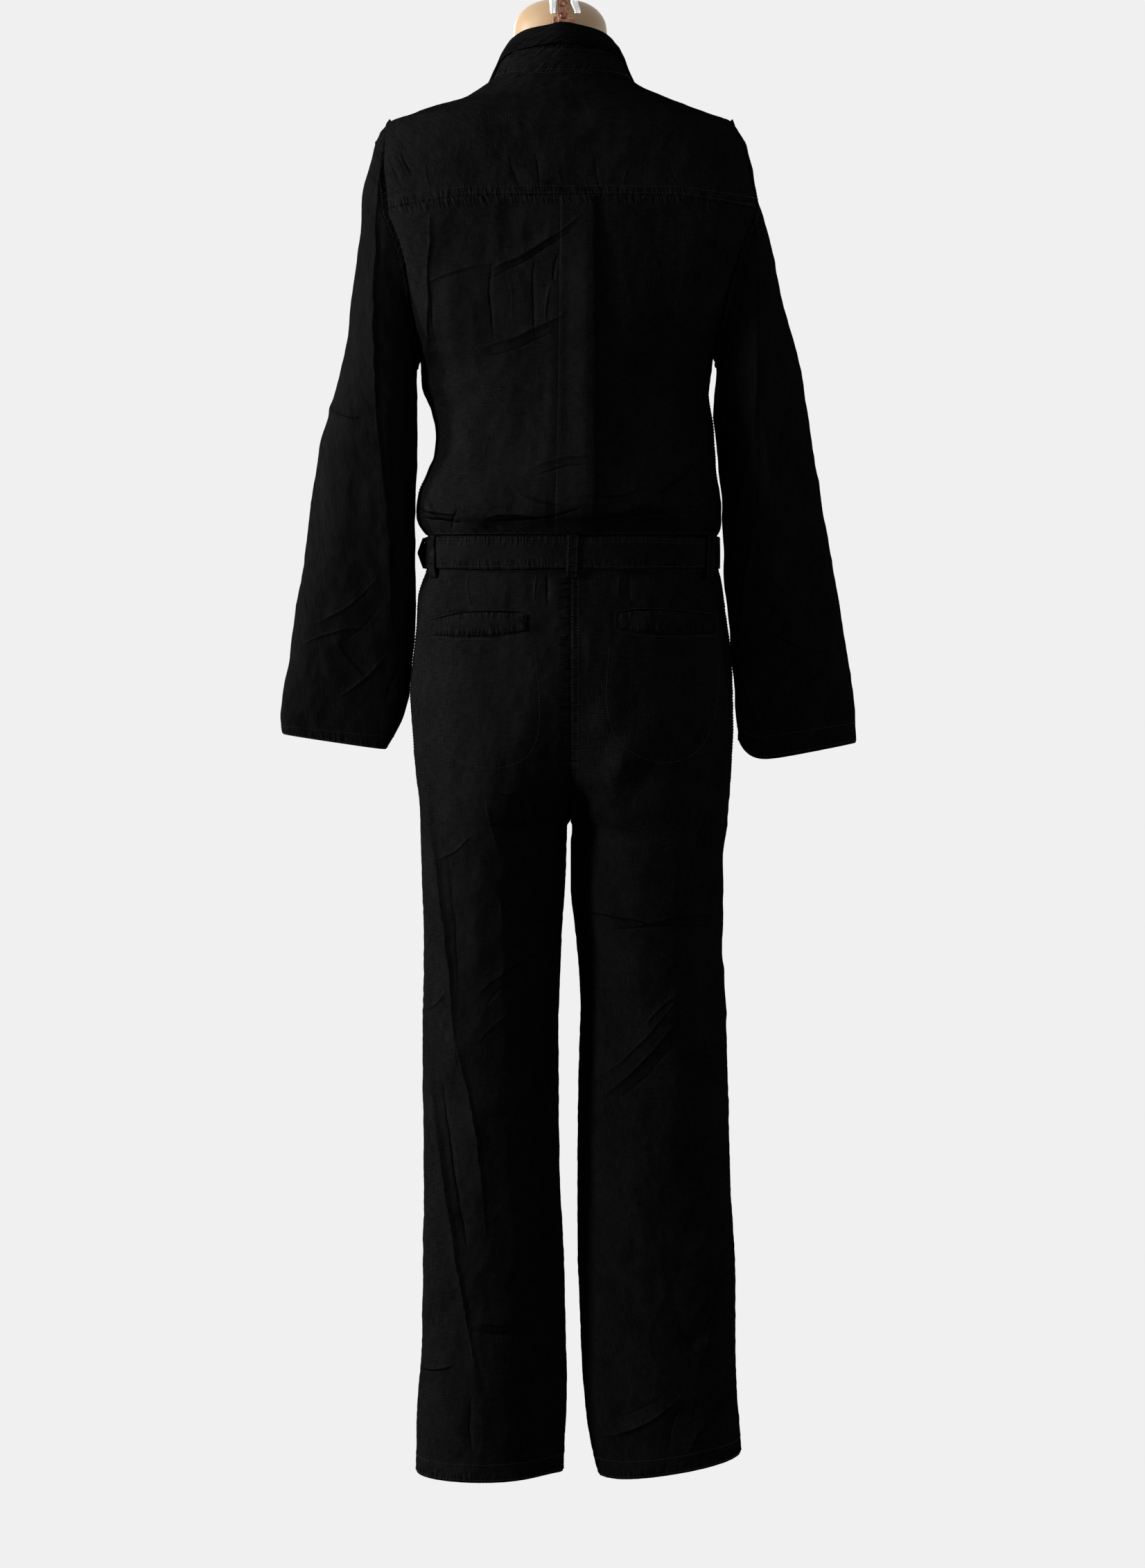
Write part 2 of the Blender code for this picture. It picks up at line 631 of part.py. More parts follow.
def add_sleeve(name, side, table, folds):
    loop, turn = armhole(side)
    loop = loop + side * 0.45 * X
    cos, sin = np.cos(turn), np.sin(turn)
    rings = []
    last = table.along[-1]
    for ring in table.along:
        r = table.at(ring)
        outer = np.array([side * r.outer_x, 0, r.outer_z])
        inner = np.array([side * r.inner_x, 0, r.inner_z])
        middle, radius = (outer + inner) / 2, (outer - inner) / 2
        power = 2 / r.square
        swing = np.sign(cos) * np.abs(cos) ** power
        depth = np.where(sin > 0, r.back, -r.front) * np.sign(sin) * np.abs(sin) ** power
        forward = SLEEVE_FORWARD * (ring / last) ** 1.5
        free = middle + swing[:, None] * radius + (depth - forward)[:, None] * Y
        lean = (1 + cos[:, None]) / 2
        sag = r.droop * (1 - lean) * (1 - (1 - lean) ** 10)
        free = free - sag * Z
        moved = loop + lean * (outer - loop[0]) * [1, 0, 1] + (1 - lean) * (inner - loop[10]) * [1, 0, 1]
        rings.append(moved + (free - moved) * r.leave if ring else loop)
    grid = np.array(rings)
    core = grid.mean(axis=1, keepdims=True)
    normal = grid_normals(grid, core, closed=True)
    grid = fold(grid, normal, folds, side_edges=False)
    normal = grid_normals(grid, core, closed=True)
    normal[0, :, 0] = 0
    normal[0] = unit(normal[0])
    thick = np.full((len(grid), 1, 1), CLOTH)
    thick[-2:] = HEM_CLOTH
    PANELS[name] = grid
    add_wall(name, grid, grid - normal * thick, closed=True)


def leg_section(table, height, side, back):
    """One half of a leg's section, from the outseam to the centre seam or the inseam."""
    s = table.at(height)
    half = s.outer - s.middle
    depth = s.back if back else s.front
    above = height > CROTCH + 0.5
    reach = min(1, (s.middle / half) ** LEG_SQUARE) if above else 1
    end = math.pi - math.acos(math.sqrt(reach)) if above else math.pi
    ease = 1.0 if height > -650 else math.pi / end * float(np.interp(-height, (650, 865), (0.5, 1)))
    turn = end * (1 - (1 - np.linspace(0, 1, LEG_COLUMNS + 1)) ** ease)
    cos, sin = np.cos(turn), np.sin(turn)
    power = 2 / LEG_SQUARE
    x = s.middle + half * np.sign(cos) * np.abs(cos) ** power
    y = depth * np.abs(sin) ** power
    x = np.maximum(x, SEAM) if above else x
    return np.column_stack([side * x, y, np.full(len(x), float(height))])


def add_trouser_panel(name, side, back, table, hem, folds, slant=0.0):
    heights = LEG_ROWS + (hem,)
    toward = SEAM if back else -SEAM
    rows = []
    for height in heights:
        s = table.at(height)
        line = leg_section(table, height, side, back)
        line[0, 1] = toward
        if height <= CROTCH + 0.5:
            line[-1, 1] = toward
        low = max(0.0, (SLANT_START - height) / (SLANT_START - hem))
        line[:, 2] += slant * low * (np.abs(line[:, 0]) - s.middle) / (2 * (s.outer - s.middle))
        rows.append(line)
    grid = np.array(rows)
    middles = np.array([side * max(40.0, float(table.at(height).middle)) for height in heights])
    ups = np.array([90.0 if height > CROTCH + 0.5 else 0.0 for height in heights])
    core = np.column_stack([middles, np.zeros(len(heights)), np.array(heights) + ups])[:, None, :]
    normal = grid_normals(grid, core)
    grid = fold(grid, normal, folds)
    normal = grid_normals(grid, core)
    seam_axes = np.array([X if height > CROTCH + 0.5 else Y for height in heights])
    pinned(normal, grid, np.s_[:, 0], Y, core)
    pinned(normal, grid, np.s_[:, -1], seam_axes, core)
    for row in (0, -1):
        normal[row, :, 2] = 0
    normal = unit(normal)
    thick = np.full((len(heights), 1, 1), CLOTH)
    thick[-2:] = HEM_CLOTH
    PANELS[name] = grid
    add_wall(name, grid, grid - normal * thick)


def neck_line():
    """The neck seam from the wearer's left front around the back to the right front."""
    left, right = [], []
    for height in np.linspace(NECK_FRONT, NECK_SIDE - 0.5, 40):
        for side, line in ((1, left), (-1, right)):
            row = half_section(height, False, side)
            sway = float(BODICE.at(height).sway)
            half = neck_half(height)
            y = np.interp(half, np.abs(row[:, 0] - sway), row[:, 1])
            line.append((sway + side * half, y, height))
    back = whole_back(NECK_SIDE)
    return np.concatenate([left, back, right[::-1]])


def add_collar():
    shares = np.linspace(0.012, 0.988, COLLAR_COLUMNS)
    seam = evenly(neck_line(), shares)
    place = np.abs(shares * 2 - 1)
    c = COLLAR.at(place)
    tangent = unit(np.gradient(seam, axis=0) * [1, 1, 0])
    out = np.cross(tangent, Z)
    out *= np.where(np.sum(out * (seam - [9, 0, 0]), axis=1, keepdims=True) < 0, -1, 1)

    def step(outward, up):
        return seam + out * np.reshape(outward, (-1, 1)) + Z * np.reshape(up, (-1, 1))

    back = tangent * (np.sign(0.5 - shares) * c.edge_back)[:, None]
    zero = np.zeros(len(seam))
    foot = step(zero - 0.8, zero + 0.7)
    stand = np.array([foot, (foot + step(c.stand_out, c.stand_up)) / 2 + out * 0.6, step(c.stand_out, c.stand_up)])
    normal = grid_normals(stand, np.array([9.0, 0, -100]))
    normal[:, :, 2] = 0
    add_wall("collar_stand", stand, stand - unit(normal) * COLLAR_CLOTH)

    base_out, base_up = c.stand_out - 0.7, c.stand_up + 0.6
    under, over = c.roll_out, c.roll_out + 2 * ROLL_RADIUS
    rows = [
        step(base_out, base_up),
        step((base_out + under) / 2, (base_up + c.roll_up) / 2),
        step(under, c.roll_up - ROLL_RADIUS),
        step(under + ROLL_RADIUS, c.roll_up),
        step(over, c.roll_up - ROLL_RADIUS),
        step(over * 0.65 + c.edge_out * 0.35 + 1.2, (c.roll_up - ROLL_RADIUS) * 0.65 + c.edge_up * 0.35) + back * 0.35,
        step(over * 0.3 + c.edge_out * 0.7 + 1.0, (c.roll_up - ROLL_RADIUS) * 0.3 + c.edge_up * 0.7) + back * 0.7,
        step(c.edge_out, c.edge_up) + back,
    ]
    middle = np.array(rows)
    normal = unit(np.cross(np.gradient(middle, axis=1), np.gradient(middle, axis=0)))
    add_wall("collar_fall", middle + normal * COLLAR_CLOTH / 2, middle - normal * COLLAR_CLOTH / 2)


def waist_loop():
    """The waist from centre front round by the wearer's left side, as a closed line and its outward normals."""
    front_left = half_section(BODICE_END, False, 1)
    back = whole_back(BODICE_END)
    front_right = half_section(BODICE_END, False, -1)[::-1]
    line = np.concatenate([front_left, back[1:], front_right[1:]])
    steps = np.linalg.norm(np.diff(line, axis=0), axis=1)
    return line, np.concatenate([[0], np.cumsum(steps)])


def on_waist(distance, offset, height):
    """A point at a distance along the waist from centre front, moved out by offset."""
    line, length = waist_loop()
    distance = np.asarray(distance, float) % length[-1]
    reach = 3.0

    def read(where):
        where = where % length[-1]
        return np.column_stack([np.interp(where, length, line[:, i]) for i in range(2)])

    here = read(distance)
    tangent = read(distance + reach) - read(distance - reach)
    out = unit(np.column_stack([-tangent[:, 1], tangent[:, 0]]))
    out *= np.where(np.sum(out * here, axis=1, keepdims=True) < 0, -1, 1)
    flat = here + out * np.reshape(offset, (-1, 1))
    return np.column_stack([flat, np.broadcast_to(height, len(flat))])


def add_belt():
    length = waist_loop()[1][-1]
    lap = 70.0
    tip = length + TONGUE_LENGTH
    distance = np.concatenate([
        np.linspace(20, length - lap, 44),
        np.linspace(length - lap, length, 6)[1:],
        np.linspace(length, tip - 16, 15)[1:],
        [tip],
    ])
    climb = np.clip((distance - (length - lap)) / lap, 0, 1)
    flick = np.clip((distance - (tip - 45)) / 45, 0, 1)
    offset = BELT_AIR + BELT_THICK + BELT_LAYER * climb * climb * (3 - 2 * climb) + 5.5 * flick**2
    middle = (BELT_TOP + BELT_END) / 2
    tall = np.full(len(distance), (BELT_TOP - BELT_END) / 2)
    tall[-1] = 2.5
    outer, inner = [], []
    for share in (1, -1):
        height = middle + share * tall
        outer.append(on_waist(distance, offset, height))
        inner.append(on_waist(distance, offset - BELT_THICK, height))
    add_wall("belt", np.array(outer), np.array(inner))
    PANELS["belt"] = np.array(outer)


def add_belt_loops():
    """Narrow straps over the belt; foot says how far out the trousers lie under each one's lower end."""
    length = waist_loop()[1][-1]
    front = BELT_AIR + BELT_THICK + BELT_LAYER
    back = BELT_AIR + BELT_THICK
    loops = (
        ("belt_loop_back", 0.5, back, 1.1),
        ("belt_loop_left", 0.5 - 157 / length, back, 2.3),
        ("belt_loop_right", 0.5 + 151 / length, back, 2.3),
        ("belt_loop_front_left", 95 / length, front, 1.6),
        ("belt_loop_front_right", 1 - 95 / length, back, 1.6),
    )
    thick = 1.3
    for name, share, under, foot in loops:
        across = share * length + np.array([-0.5, 0, 0.5]) * LOOP_WIDTH
        ridge = under + 0.4
        path = ((LOOP_TOP, ridge), (BELT_TOP - 12, ridge), (BELT_END - 1.5, ridge), (-616.0, foot + 1.2),
                (LOOP_END, foot))
        inner = np.array([on_waist(across, offset, height) for height, offset in path])
        outer = np.array([on_waist(across, offset + thick, height) for height, offset in path])
        add_wall(name, outer, inner)


def panel_point(grid, row, column):
    """A point of a panel between its rows and columns."""
    i, j = min(int(row), len(grid) - 2), min(int(column), grid.shape[1] - 2)
    a, b = row - i, column - j
    top = grid[i, j] * (1 - b) + grid[i, j + 1] * b
    end = grid[i + 1, j] * (1 - b) + grid[i + 1, j + 1] * b
    return top * (1 - a) + end * a


def add_on_panel(name, panel, near_x, far_x, top, end, thick=1.2):
    """A flat piece that lies on a panel: the panel's own points between its edges, moved out."""
    grid = PANELS[panel]
    heights = grid[:, 0, 2]
    places = []
    for height in [top, *heights[(heights < top - 3) & (heights > end + 3)], end]:
        row = float(np.interp(-height, -heights, np.arange(len(heights))))
        i = min(int(row), len(heights) - 2)
        reach = np.abs(grid[i, :, 0] * (1 - row + i) + grid[i + 1, :, 0] * (row - i))
        columns = np.interp([-abs(far_x), -abs(near_x)], -reach, np.arange(len(reach), dtype=float))
        places.append((row, *columns))
    first = max(place[1] for place in places)
    last = min(place[2] for place in places)
    between = [k for k in range(grid.shape[1]) if first + 0.1 < k < last - 0.1]
    flat = np.array([[panel_point(grid, row, k) for k in (start, *between, stop)] for row, start, stop in places])
    core = flat.mean(axis=(0, 1)) * [1, 0, 1]
    normal = grid_normals(flat, core)
    add_wall(name, flat + normal * (LIFT + thick), flat + normal * LIFT)


def add_placket(name, left, right, top, end):
    """A strip over the two front edges that meet at the centre, made from the panels' own rows, moved out."""
    rows = []
    heights = PANELS[left][:, 0, 2]
    for height in [top, *heights[(heights < top - 3) & (heights > end + 3)], end]:
        row = float(np.interp(-height, -heights, np.arange(len(heights))))
        i = min(int(row), len(heights) - 2)
        line = []
        for panel, side in ((right, -1), (left, 1)):
            across = PANELS[panel][i] * (1 - row + i) + PANELS[panel][i + 1] * (row - i)
            across = across[np.argsort(across[:, 0])]
            middle = across[0, 0] - SEAM if side == 1 else across[-1, 0] + SEAM
            places = np.array([-PLACKET_HALF, -PLACKET_HALF / 2]) if side == -1 else (
                np.array([0, PLACKET_HALF / 2, PLACKET_HALF]))
            y = np.interp(middle + places, across[:, 0], across[:, 1])
            line.append(np.column_stack([middle + places, y, np.full(len(places), height)]))
        rows.append(np.concatenate(line))
    flat = np.array(rows)
    PANELS[name] = flat - Y * (LIFT + 1.3)
    add_wall(name, PANELS[name], flat - Y * LIFT)


def add_disc(name, centre, radius, thick, finish, direction=-1, sides=12):
    """A turned disc facing along Y, with a rounded rim."""
    profile = ((0.0, 0.88), (0.35, 1.0), (1.0, 0.86))
    turn = np.linspace(0, 2 * math.pi, sides, endpoint=False)
    rings = []
    for out, share in profile:
        circle = np.column_stack([np.cos(turn) * radius * share, np.zeros(sides), np.sin(turn) * radius * share])
        rings.append(centre + circle + direction * out * thick * Y)
    add_rings(name, np.array(rings), centre, centre + direction * thick * Y, finish)


def add_buttons():
    for panel, heights in (("front_placket", (-198, -258, -318, -378, -438, -498)), ("fly_placket", (-650, -705))):
        grid = PANELS[panel]
        for height in heights:
            row = float(np.interp(-height, -grid[:, 2, 2], np.arange(len(grid))))
            centre = panel_point(grid, row, 2.0) - Y * 0.35
            slope = panel_point(grid, min(row + 0.5, len(grid) - 1), 2.0) - panel_point(grid, max(row - 0.5, 0), 2.0)
            centre = centre - Y * abs(slope[1] / slope[2]) * BUTTON_RADIUS
            add_disc(f"button{abs(height)}", centre, BUTTON_RADIUS, BUTTON_THICK, "button_horn")


def add_box(name, low, high, finish, round_off=0.8):
    """A plate with its edges rounded off."""
    low, high = np.array(low, float), np.array(high, float)
    corners = np.array([[(low, high)[i][0], (low, high)[j][1], (low, high)[k][2]]
                        for i in (0, 1) for j in (0, 1) for k in (0, 1)])
    sides = ((0, 1, 3, 2), (4, 6, 7, 5), (0, 4, 5, 1), (2, 3, 7, 6), (0, 2, 6, 4), (1, 5, 7, 3))
    faces = [triangle for a, b, c, d in sides for triangle in ((a, b, c), (a, c, d))]
    plate = add_solid(name, corners, faces, finish)
    bevel = plate.modifiers.new("rounded", "BEVEL")
    bevel.width = round_off * MM
    bevel.segments = 1
    bevel.limit_method = "ANGLE"


def add_buckle():
    """A plain rectangular frame over the belt at centre front, with one prong."""
    centre = float(BODICE.at(BODICE_END).sway)
    face = float(BODICE.at(BODICE_END).front) - BELT_AIR - BELT_THICK - BELT_LAYER
    middle = (BELT_TOP + BELT_END) / 2
    wide, tall, bar, thick = 25.0, 22.0, 5.0, 3.0
    ring = []
    for inset in (0.0, bar):
        for depth in (0.6, 0.6 + thick):
            square = [(centre + a * (wide - inset), face - depth, middle + b * (tall - inset))
                      for a, b in ((1, 1), (-1, 1), (-1, -1), (1, -1))]
            ring.append(square)
    order = [ring[0], ring[1], ring[3], ring[2]]
    points = np.array(order).transpose(1, 0, 2).reshape(-1, 3)
    faces = []
    for corner in range(4):
        nxt = (corner + 1) % 4
        for k in range(4):
            m = (k + 1) % 4
            a, b, c, d = corner * 4 + k, corner * 4 + m, nxt * 4 + m, nxt * 4 + k
            faces += [(a, b, c), (a, c, d)]
    add_solid("buckle_frame", points, faces, "buckle_metal")
    reach = wide - bar - 0.4
    add_box("buckle_prong", (centre - reach, face - 2.9, middle - 1.5), (centre + reach, face - 0.6, middle + 1.5),
            "buckle_metal", 0.5)


def form_ring(height, lines):
    """A closed ring of the form: the back from left to right, then the front from right to left."""
    back = evenly(whole_back(height, lines), np.linspace(0, 1, FORM_COLUMNS))
    right = half_section(height, False, -1, lines)[::-1]
    left = half_section(height, False, 1, lines)
    front = evenly(np.concatenate([right, left[1:]]), np.linspace(0, 1, FORM_COLUMNS + 2)[1:-1])
    return np.concatenate([back, front])


def add_form():
    """The torso form: a domed neck, shoulders that follow the yoke, and a body that ends at the hips."""
    neck = []
    turn = np.linspace(0, math.pi, FORM_COLUMNS)
    turn = np.concatenate([turn, np.linspace(math.pi, 2 * math.pi, FORM_COLUMNS + 2)[1:-1]])
    for n in (FORM_NECK.at(height) for height in FORM_NECK.along[::-1]):
        depth = np.where(np.sin(turn) > 0, n.back, -n.front)
        neck.append(np.column_stack([NECK_X + n.half * np.cos(turn), depth * np.sin(turn), np.full(len(turn), n.height)]))
    cloth = np.array([form_ring(height, BODICE) for height in (-109, -116, -124, -132, -140, -147, -154, -163)])
    air = np.full(cloth.shape[1], FORM_AIR)
    air[FORM_COLUMNS:] = FORM_FRONT_AIR
    under = cloth - grid_normals(cloth, axis_core(cloth[:, 0, 2], up=-60), closed=True) * (CLOTH + air)[:, None]
    throat = FORM_THROAT * np.exp(-(((cloth[:, FORM_COLUMNS:, 0] - 9) / 60) ** 2))
    under[:, FORM_COLUMNS:, 1] += throat
    body = np.array([form_ring(height, FORM_BODY) for height in FORM_BODY.along[::-1]])
    rings = np.concatenate([neck, under[1:-1], body])
    add_rings("torso_form", rings, np.array([NECK_X, 0, FORM_TOP]), np.array([0, 2, FORM_END]), "form_skin")


def add_tube(name, points, radius, finish, sides=10):
    """A round bar along a line of points that runs in one plane of constant x."""
    points = np.array(points, float)
    along = unit(np.gradient(points, axis=0))
    out = np.cross(along, X)
    turn = np.linspace(0, 2 * math.pi, sides, endpoint=False)
    rings = [p + radius * (np.cos(turn)[:, None] * X + np.sin(turn)[:, None] * o) for p, o in zip(points, out)]
    add_rings(name, np.array(rings), points[0], points[-1], finish)


def add_bracket():
    """A channel with rolled edges, screwed to the back of the neck and turned forward over it."""
    x = HANG_X
    base, plate = PLATE_BACK + 0.3, PLATE_BACK + 2.4
    face = plate + 1.7
    half = RAIL_APART - RAIL_RADIUS - 0.35
    top = FORM_TOP - 0.1
    add_box("bracket_base", (x - 11, base, -90), (x + 11, plate - 0.3, -52.5), "plate_bronze", 0.5)
    add_box("bracket_plate", (x - half, plate, -64), (x + half, face, top), "plate_bronze", 0.5)
    for name, side in (("bracket_rail_left", 1), ("bracket_rail_right", -1)):
        axis_x, axis_y = x + side * RAIL_APART, plate + RAIL_RADIUS
        line = [(axis_x, axis_y, height) for height in (top, -34, -42, -50.5)]
        add_tube(name, line, RAIL_RADIUS, "rail_steel")
    for name, height, radius in (("bracket_screw_upper", -39.5, 3.4), ("bracket_screw_lower", -51.5, 4.0)):
        add_disc(name, np.array([x, face + 0.3, height]), radius, 2.2, "plate_bronze", direction=1, sides=12)
    add_box("bracket_arm", (x - 15, -9, top + 0.4), (x + 15, plate + 2 * RAIL_RADIUS, top + 3.8), "rail_steel")
    eye, bar = 9.9, 2.1
    links, sides = 18, 6
    around = np.linspace(0, 2 * math.pi, sides, endpoint=False)
    points = []
    for u in np.linspace(0, 2 * math.pi, links, endpoint=False):
        out = np.array([math.cos(u), 0, math.sin(u)])
        points += [(x, 0, EYE_HEIGHT) + (eye + bar * math.cos(v)) * out + bar * math.sin(v) * Y for v in around]
    faces = []
    for i in range(links):
        for j in range(sides):
            a, b = i * sides + j, i * sides + (j + 1) % sides
            c, d = (i + 1) % links * sides + (j + 1) % sides, (i + 1) % links * sides + j
            faces += [(a, b, c), (a, c, d)]
    add_solid("hanging_eye", np.array(points), faces, "rail_steel")


def main():
    for thing in list(bpy.data.objects):
        bpy.data.objects.remove(thing, do_unlink=True)
    add_materials()
    add_yoke()
    add_back_panel()
    for name, side in (("front_left", 1), ("front_right", -1)):
        add_front(name, side)
    add_sleeve("sleeve_left", 1, SLEEVE_LEFT, SLEEVE_FOLDS_LEFT)
    add_sleeve("sleeve_right", -1, SLEEVE_RIGHT, SLEEVE_FOLDS_RIGHT)
    mirrored = [(-x0, z0, -x1, z1, width, height) for x0, z0, x1, z1, width, height in FRONT_LEG_FOLDS]
    add_trouser_panel("trouser_back_left", 1, True, LEG_LEFT, LEFT_HEM, SEAT_FOLDS_LEFT)
    add_trouser_panel("trouser_back_right", -1, True, LEG_RIGHT, RIGHT_HEM, SEAT_FOLDS_RIGHT, RIGHT_HEM_SLANT)
    add_trouser_panel("trouser_front_left", 1, False, LEG_LEFT, LEFT_HEM, FRONT_LEG_FOLDS)
    add_trouser_panel("trouser_front_right", -1, False, LEG_RIGHT, RIGHT_HEM, mirrored, RIGHT_HEM_SLANT)
    add_collar()
    add_belt()
    add_belt_loops()
    add_on_panel("back_welt_left", "trouser_back_left", 45, 143, -660, -684)
    add_on_panel("back_welt_right", "trouser_back_right", 47, 147, -658, -681)
    add_placket("front_placket", "front_left", "front_right", -170, -574)
    add_placket("fly_placket", "trouser_front_left", "trouser_front_right", -622, -745)
    add_buttons()
    add_buckle()
    add_form()
    add_bracket()


main()
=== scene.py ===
"""Looks of a black twill jumpsuit on a limbless torso form: cloth, stitches, buttons, form and bracket.

Sizes are in millimetres until a mesh is made. +Z is up, the garment's back faces +Y and the wearer's
left is +X. Each cloth panel is a grid of points that follows its solid, with its creases laid over it.
The cuffs and the belt's tongue have finer shapes of their own, up to 32 mm from the solids at the left cuff.
"""

import math
from types import SimpleNamespace

import bpy
import numpy as np
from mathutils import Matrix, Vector, noise


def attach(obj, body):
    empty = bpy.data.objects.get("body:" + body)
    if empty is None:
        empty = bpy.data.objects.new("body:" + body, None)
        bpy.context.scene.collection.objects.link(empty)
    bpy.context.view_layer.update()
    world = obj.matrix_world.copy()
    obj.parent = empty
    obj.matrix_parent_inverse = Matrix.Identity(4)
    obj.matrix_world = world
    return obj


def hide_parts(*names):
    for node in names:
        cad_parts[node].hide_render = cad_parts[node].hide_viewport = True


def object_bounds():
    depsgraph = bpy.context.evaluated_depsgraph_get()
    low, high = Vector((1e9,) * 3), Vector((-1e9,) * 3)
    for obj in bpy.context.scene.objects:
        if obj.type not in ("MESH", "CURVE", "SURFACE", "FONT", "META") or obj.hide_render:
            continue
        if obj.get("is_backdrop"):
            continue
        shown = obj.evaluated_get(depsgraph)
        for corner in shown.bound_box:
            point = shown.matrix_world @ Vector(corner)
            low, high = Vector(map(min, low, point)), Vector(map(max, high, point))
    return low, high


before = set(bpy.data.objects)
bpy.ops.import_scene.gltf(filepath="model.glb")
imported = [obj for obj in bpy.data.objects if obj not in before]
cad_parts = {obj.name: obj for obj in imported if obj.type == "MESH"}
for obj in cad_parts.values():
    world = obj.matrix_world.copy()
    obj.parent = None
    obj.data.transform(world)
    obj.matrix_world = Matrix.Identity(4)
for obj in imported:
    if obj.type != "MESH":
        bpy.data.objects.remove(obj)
BOX_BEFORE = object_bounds()

MM = 0.001
HANG_X = 7.0  # the hanging eye stands this far to the wearer's left of the garment's middle
X, Y, Z = np.eye(3)

# Cloth
PITCH = 2.2  # between the points of the back and the yoke
LEG_PITCH = 2.5
SLEEVE_PITCH = 2.7
FRONT_PITCH = 4.6
CLOTH = 1.1
HEM_CLOTH = 2.0
SQUARE = 2.3
FAR = 60.0
HIDDEN_STEP = 3  # the hidden side of a wall keeps every third point
FOLD_LAYERS = 4  # folds closer together than FOLD_APART are kept in different layers
FOLD_APART = 13.0
FOLD_GAIN = 0.68
FOLD_REACH = 2.4
LAP, LAP_UNDER = 4.0, 1.9  # a seam's hidden edge: how far it reaches and how deep it lies
SEAM_CALM = 13.0  # creases die out this close to a seam
CREASE_GAIN = 0.85
CREASE_SHARP = 0.85  # narrows every crease
UNDERARM_EASE = 60  # rounds of smoothing down the back
YOKE_DIP = 9.0  # how much lower the yoke seam is at the armholes than in the middle

# Heights
NECK_SIDE = -109.0
NECK_FRONT = -165.0
YOKE_SEAM = -240.0
UNDERARM = -396.0
SHOULDER_TIP = -154.0
BODICE_END = -579.0
LEFT_HEM, RIGHT_HEM = -1538.0, -1530.0
RIGHT_HEM_SLANT = 23.0
SLANT_START = -1300.0
SEAT_VALLEY = 13.0  # how deep the seat sinks between its two sides
FORK_VALLEY = 9.0  # and how much deeper near the fork
VALLEY_X = -5.0
CENTRE_LAP = np.array([-1.2, -4.0, 0.0])
LEG_SQUARE = 2.15
SLEEVE_FORWARD = 14.0
SLEEVE_FLAT = 0.9  # the left sleeve is flatter behind, from its ridge to its outer edge

# Box pleat of the back
PLEAT_TOP_X, PLEAT_END_X = -7.0, -4.5
PLEAT_TOP_HALF, PLEAT_END_HALF = 16.5, 19.5
PLEAT_UNDER = 9.0
PLEAT_CLOTH = 1.0

# Belt and its loops
BELT_TOP, BELT_END = -580.3, -612.3
BELT_THICK = 2.0
BELT_AIR = 0.8
BELT_LAYER = 2.7
TONGUE_LENGTH = 198.0
TONGUE_POINT = 16.0
TONGUE_FLICK = 4.5
LOOP_WIDTH = 12.0

WELT_ROWS = (-650.0, -668.0)  # the pocket openings lie between these heights
WELT_PITCH = 0.8
SLIT_DEEP, SLIT_HALF = 3.2, 0.9
# Each welt: its inner and outer end, its upper and lower line, and how both rise along it
WELT_LEFT = (42.5, 140, -657.5, -680, (-0.5, 1.2, 0, -8), (5.5, 0.5, -0.8, 0.5))
WELT_RIGHT = (-48, -145, -656, -677, (-1, 1.5, -0.5, -4.5), (4.5, 0, -0.6, -0.5))
PLACKET_HALF = 17.0
CUT_APART = 370.0  # between neighbouring panels in the cloth's pattern, so that no seam mirrors it
PAPER_GLOW = 1.0  # the studio paper's own light, which keeps it one pale tone
FRONT_PLACKET = (-166.5, -574)  # each placket's top and lower end
FLY_PLACKET = (-622, -745)

# The form's shoulders, under the cloth: the rows they follow, the air over back and front, and how much
# further back the form stays behind the collar's front
FORM_COLUMNS = 60
FORM_SHOULDER_ROWS = (-109, -116, -124, -132, -140, -147, -154, -163)
FORM_AIR, FORM_FRONT_AIR = 1.2, 2.8
FORM_THROAT, THROAT_X, THROAT_WIDTH = 4.5, 9, 60
BUTTON_RADIUS = 7.5

# Bracket
RAIL_RADIUS = 4.2
RAIL_APART = 10.35
PLATE_BACK = 43.5
EYE_HEIGHT = -12.0
FORM_TOP = -28.0
NECK_X = 10.5

# Topstitching
STITCH_PITCH = 3.1
STITCH_LENGTH = 2.3
STITCH_RADIUS = 0.34


def smooth_read(along, values, where):
    """Monotone cubic through the rows of a table, so no value swings past its neighbours."""
    step = np.diff(along)
    slope = np.diff(values) / step
    tangent = np.zeros(len(values))
    same_way = slope[:-1] * slope[1:] > 0
    pair = np.where(same_way, slope[:-1] + slope[1:], 1.0)
    tangent[1:-1] = np.where(same_way, 2 * slope[:-1] * slope[1:] / pair, 0.0)
    tangent[0], tangent[-1] = slope[0], slope[-1]
    i = np.clip(np.searchsorted(along, where) - 1, 0, len(step) - 1)
    t = np.clip((where - along[i]) / step[i], 0, 1)
    return (
        values[i] * (1 + 2 * t) * (1 - t) ** 2
        + step[i] * tangent[i] * t * (1 - t) ** 2
        + values[i + 1] * t * t * (3 - 2 * t)
        - step[i] * tangent[i + 1] * t * t * (1 - t)
    )


class Sections:
    """A table of named columns, read at any place along its first column."""

    def __init__(self, columns, *rows):
        self.names = columns.split()
        self.table = np.array(sorted(rows), float)
        self.along = self.table[:, 0]

    def at(self, place):
        columns = zip(self.names, self.table.T)
        return SimpleNamespace(**{name: smooth_read(self.along, column, place) for name, column in columns})


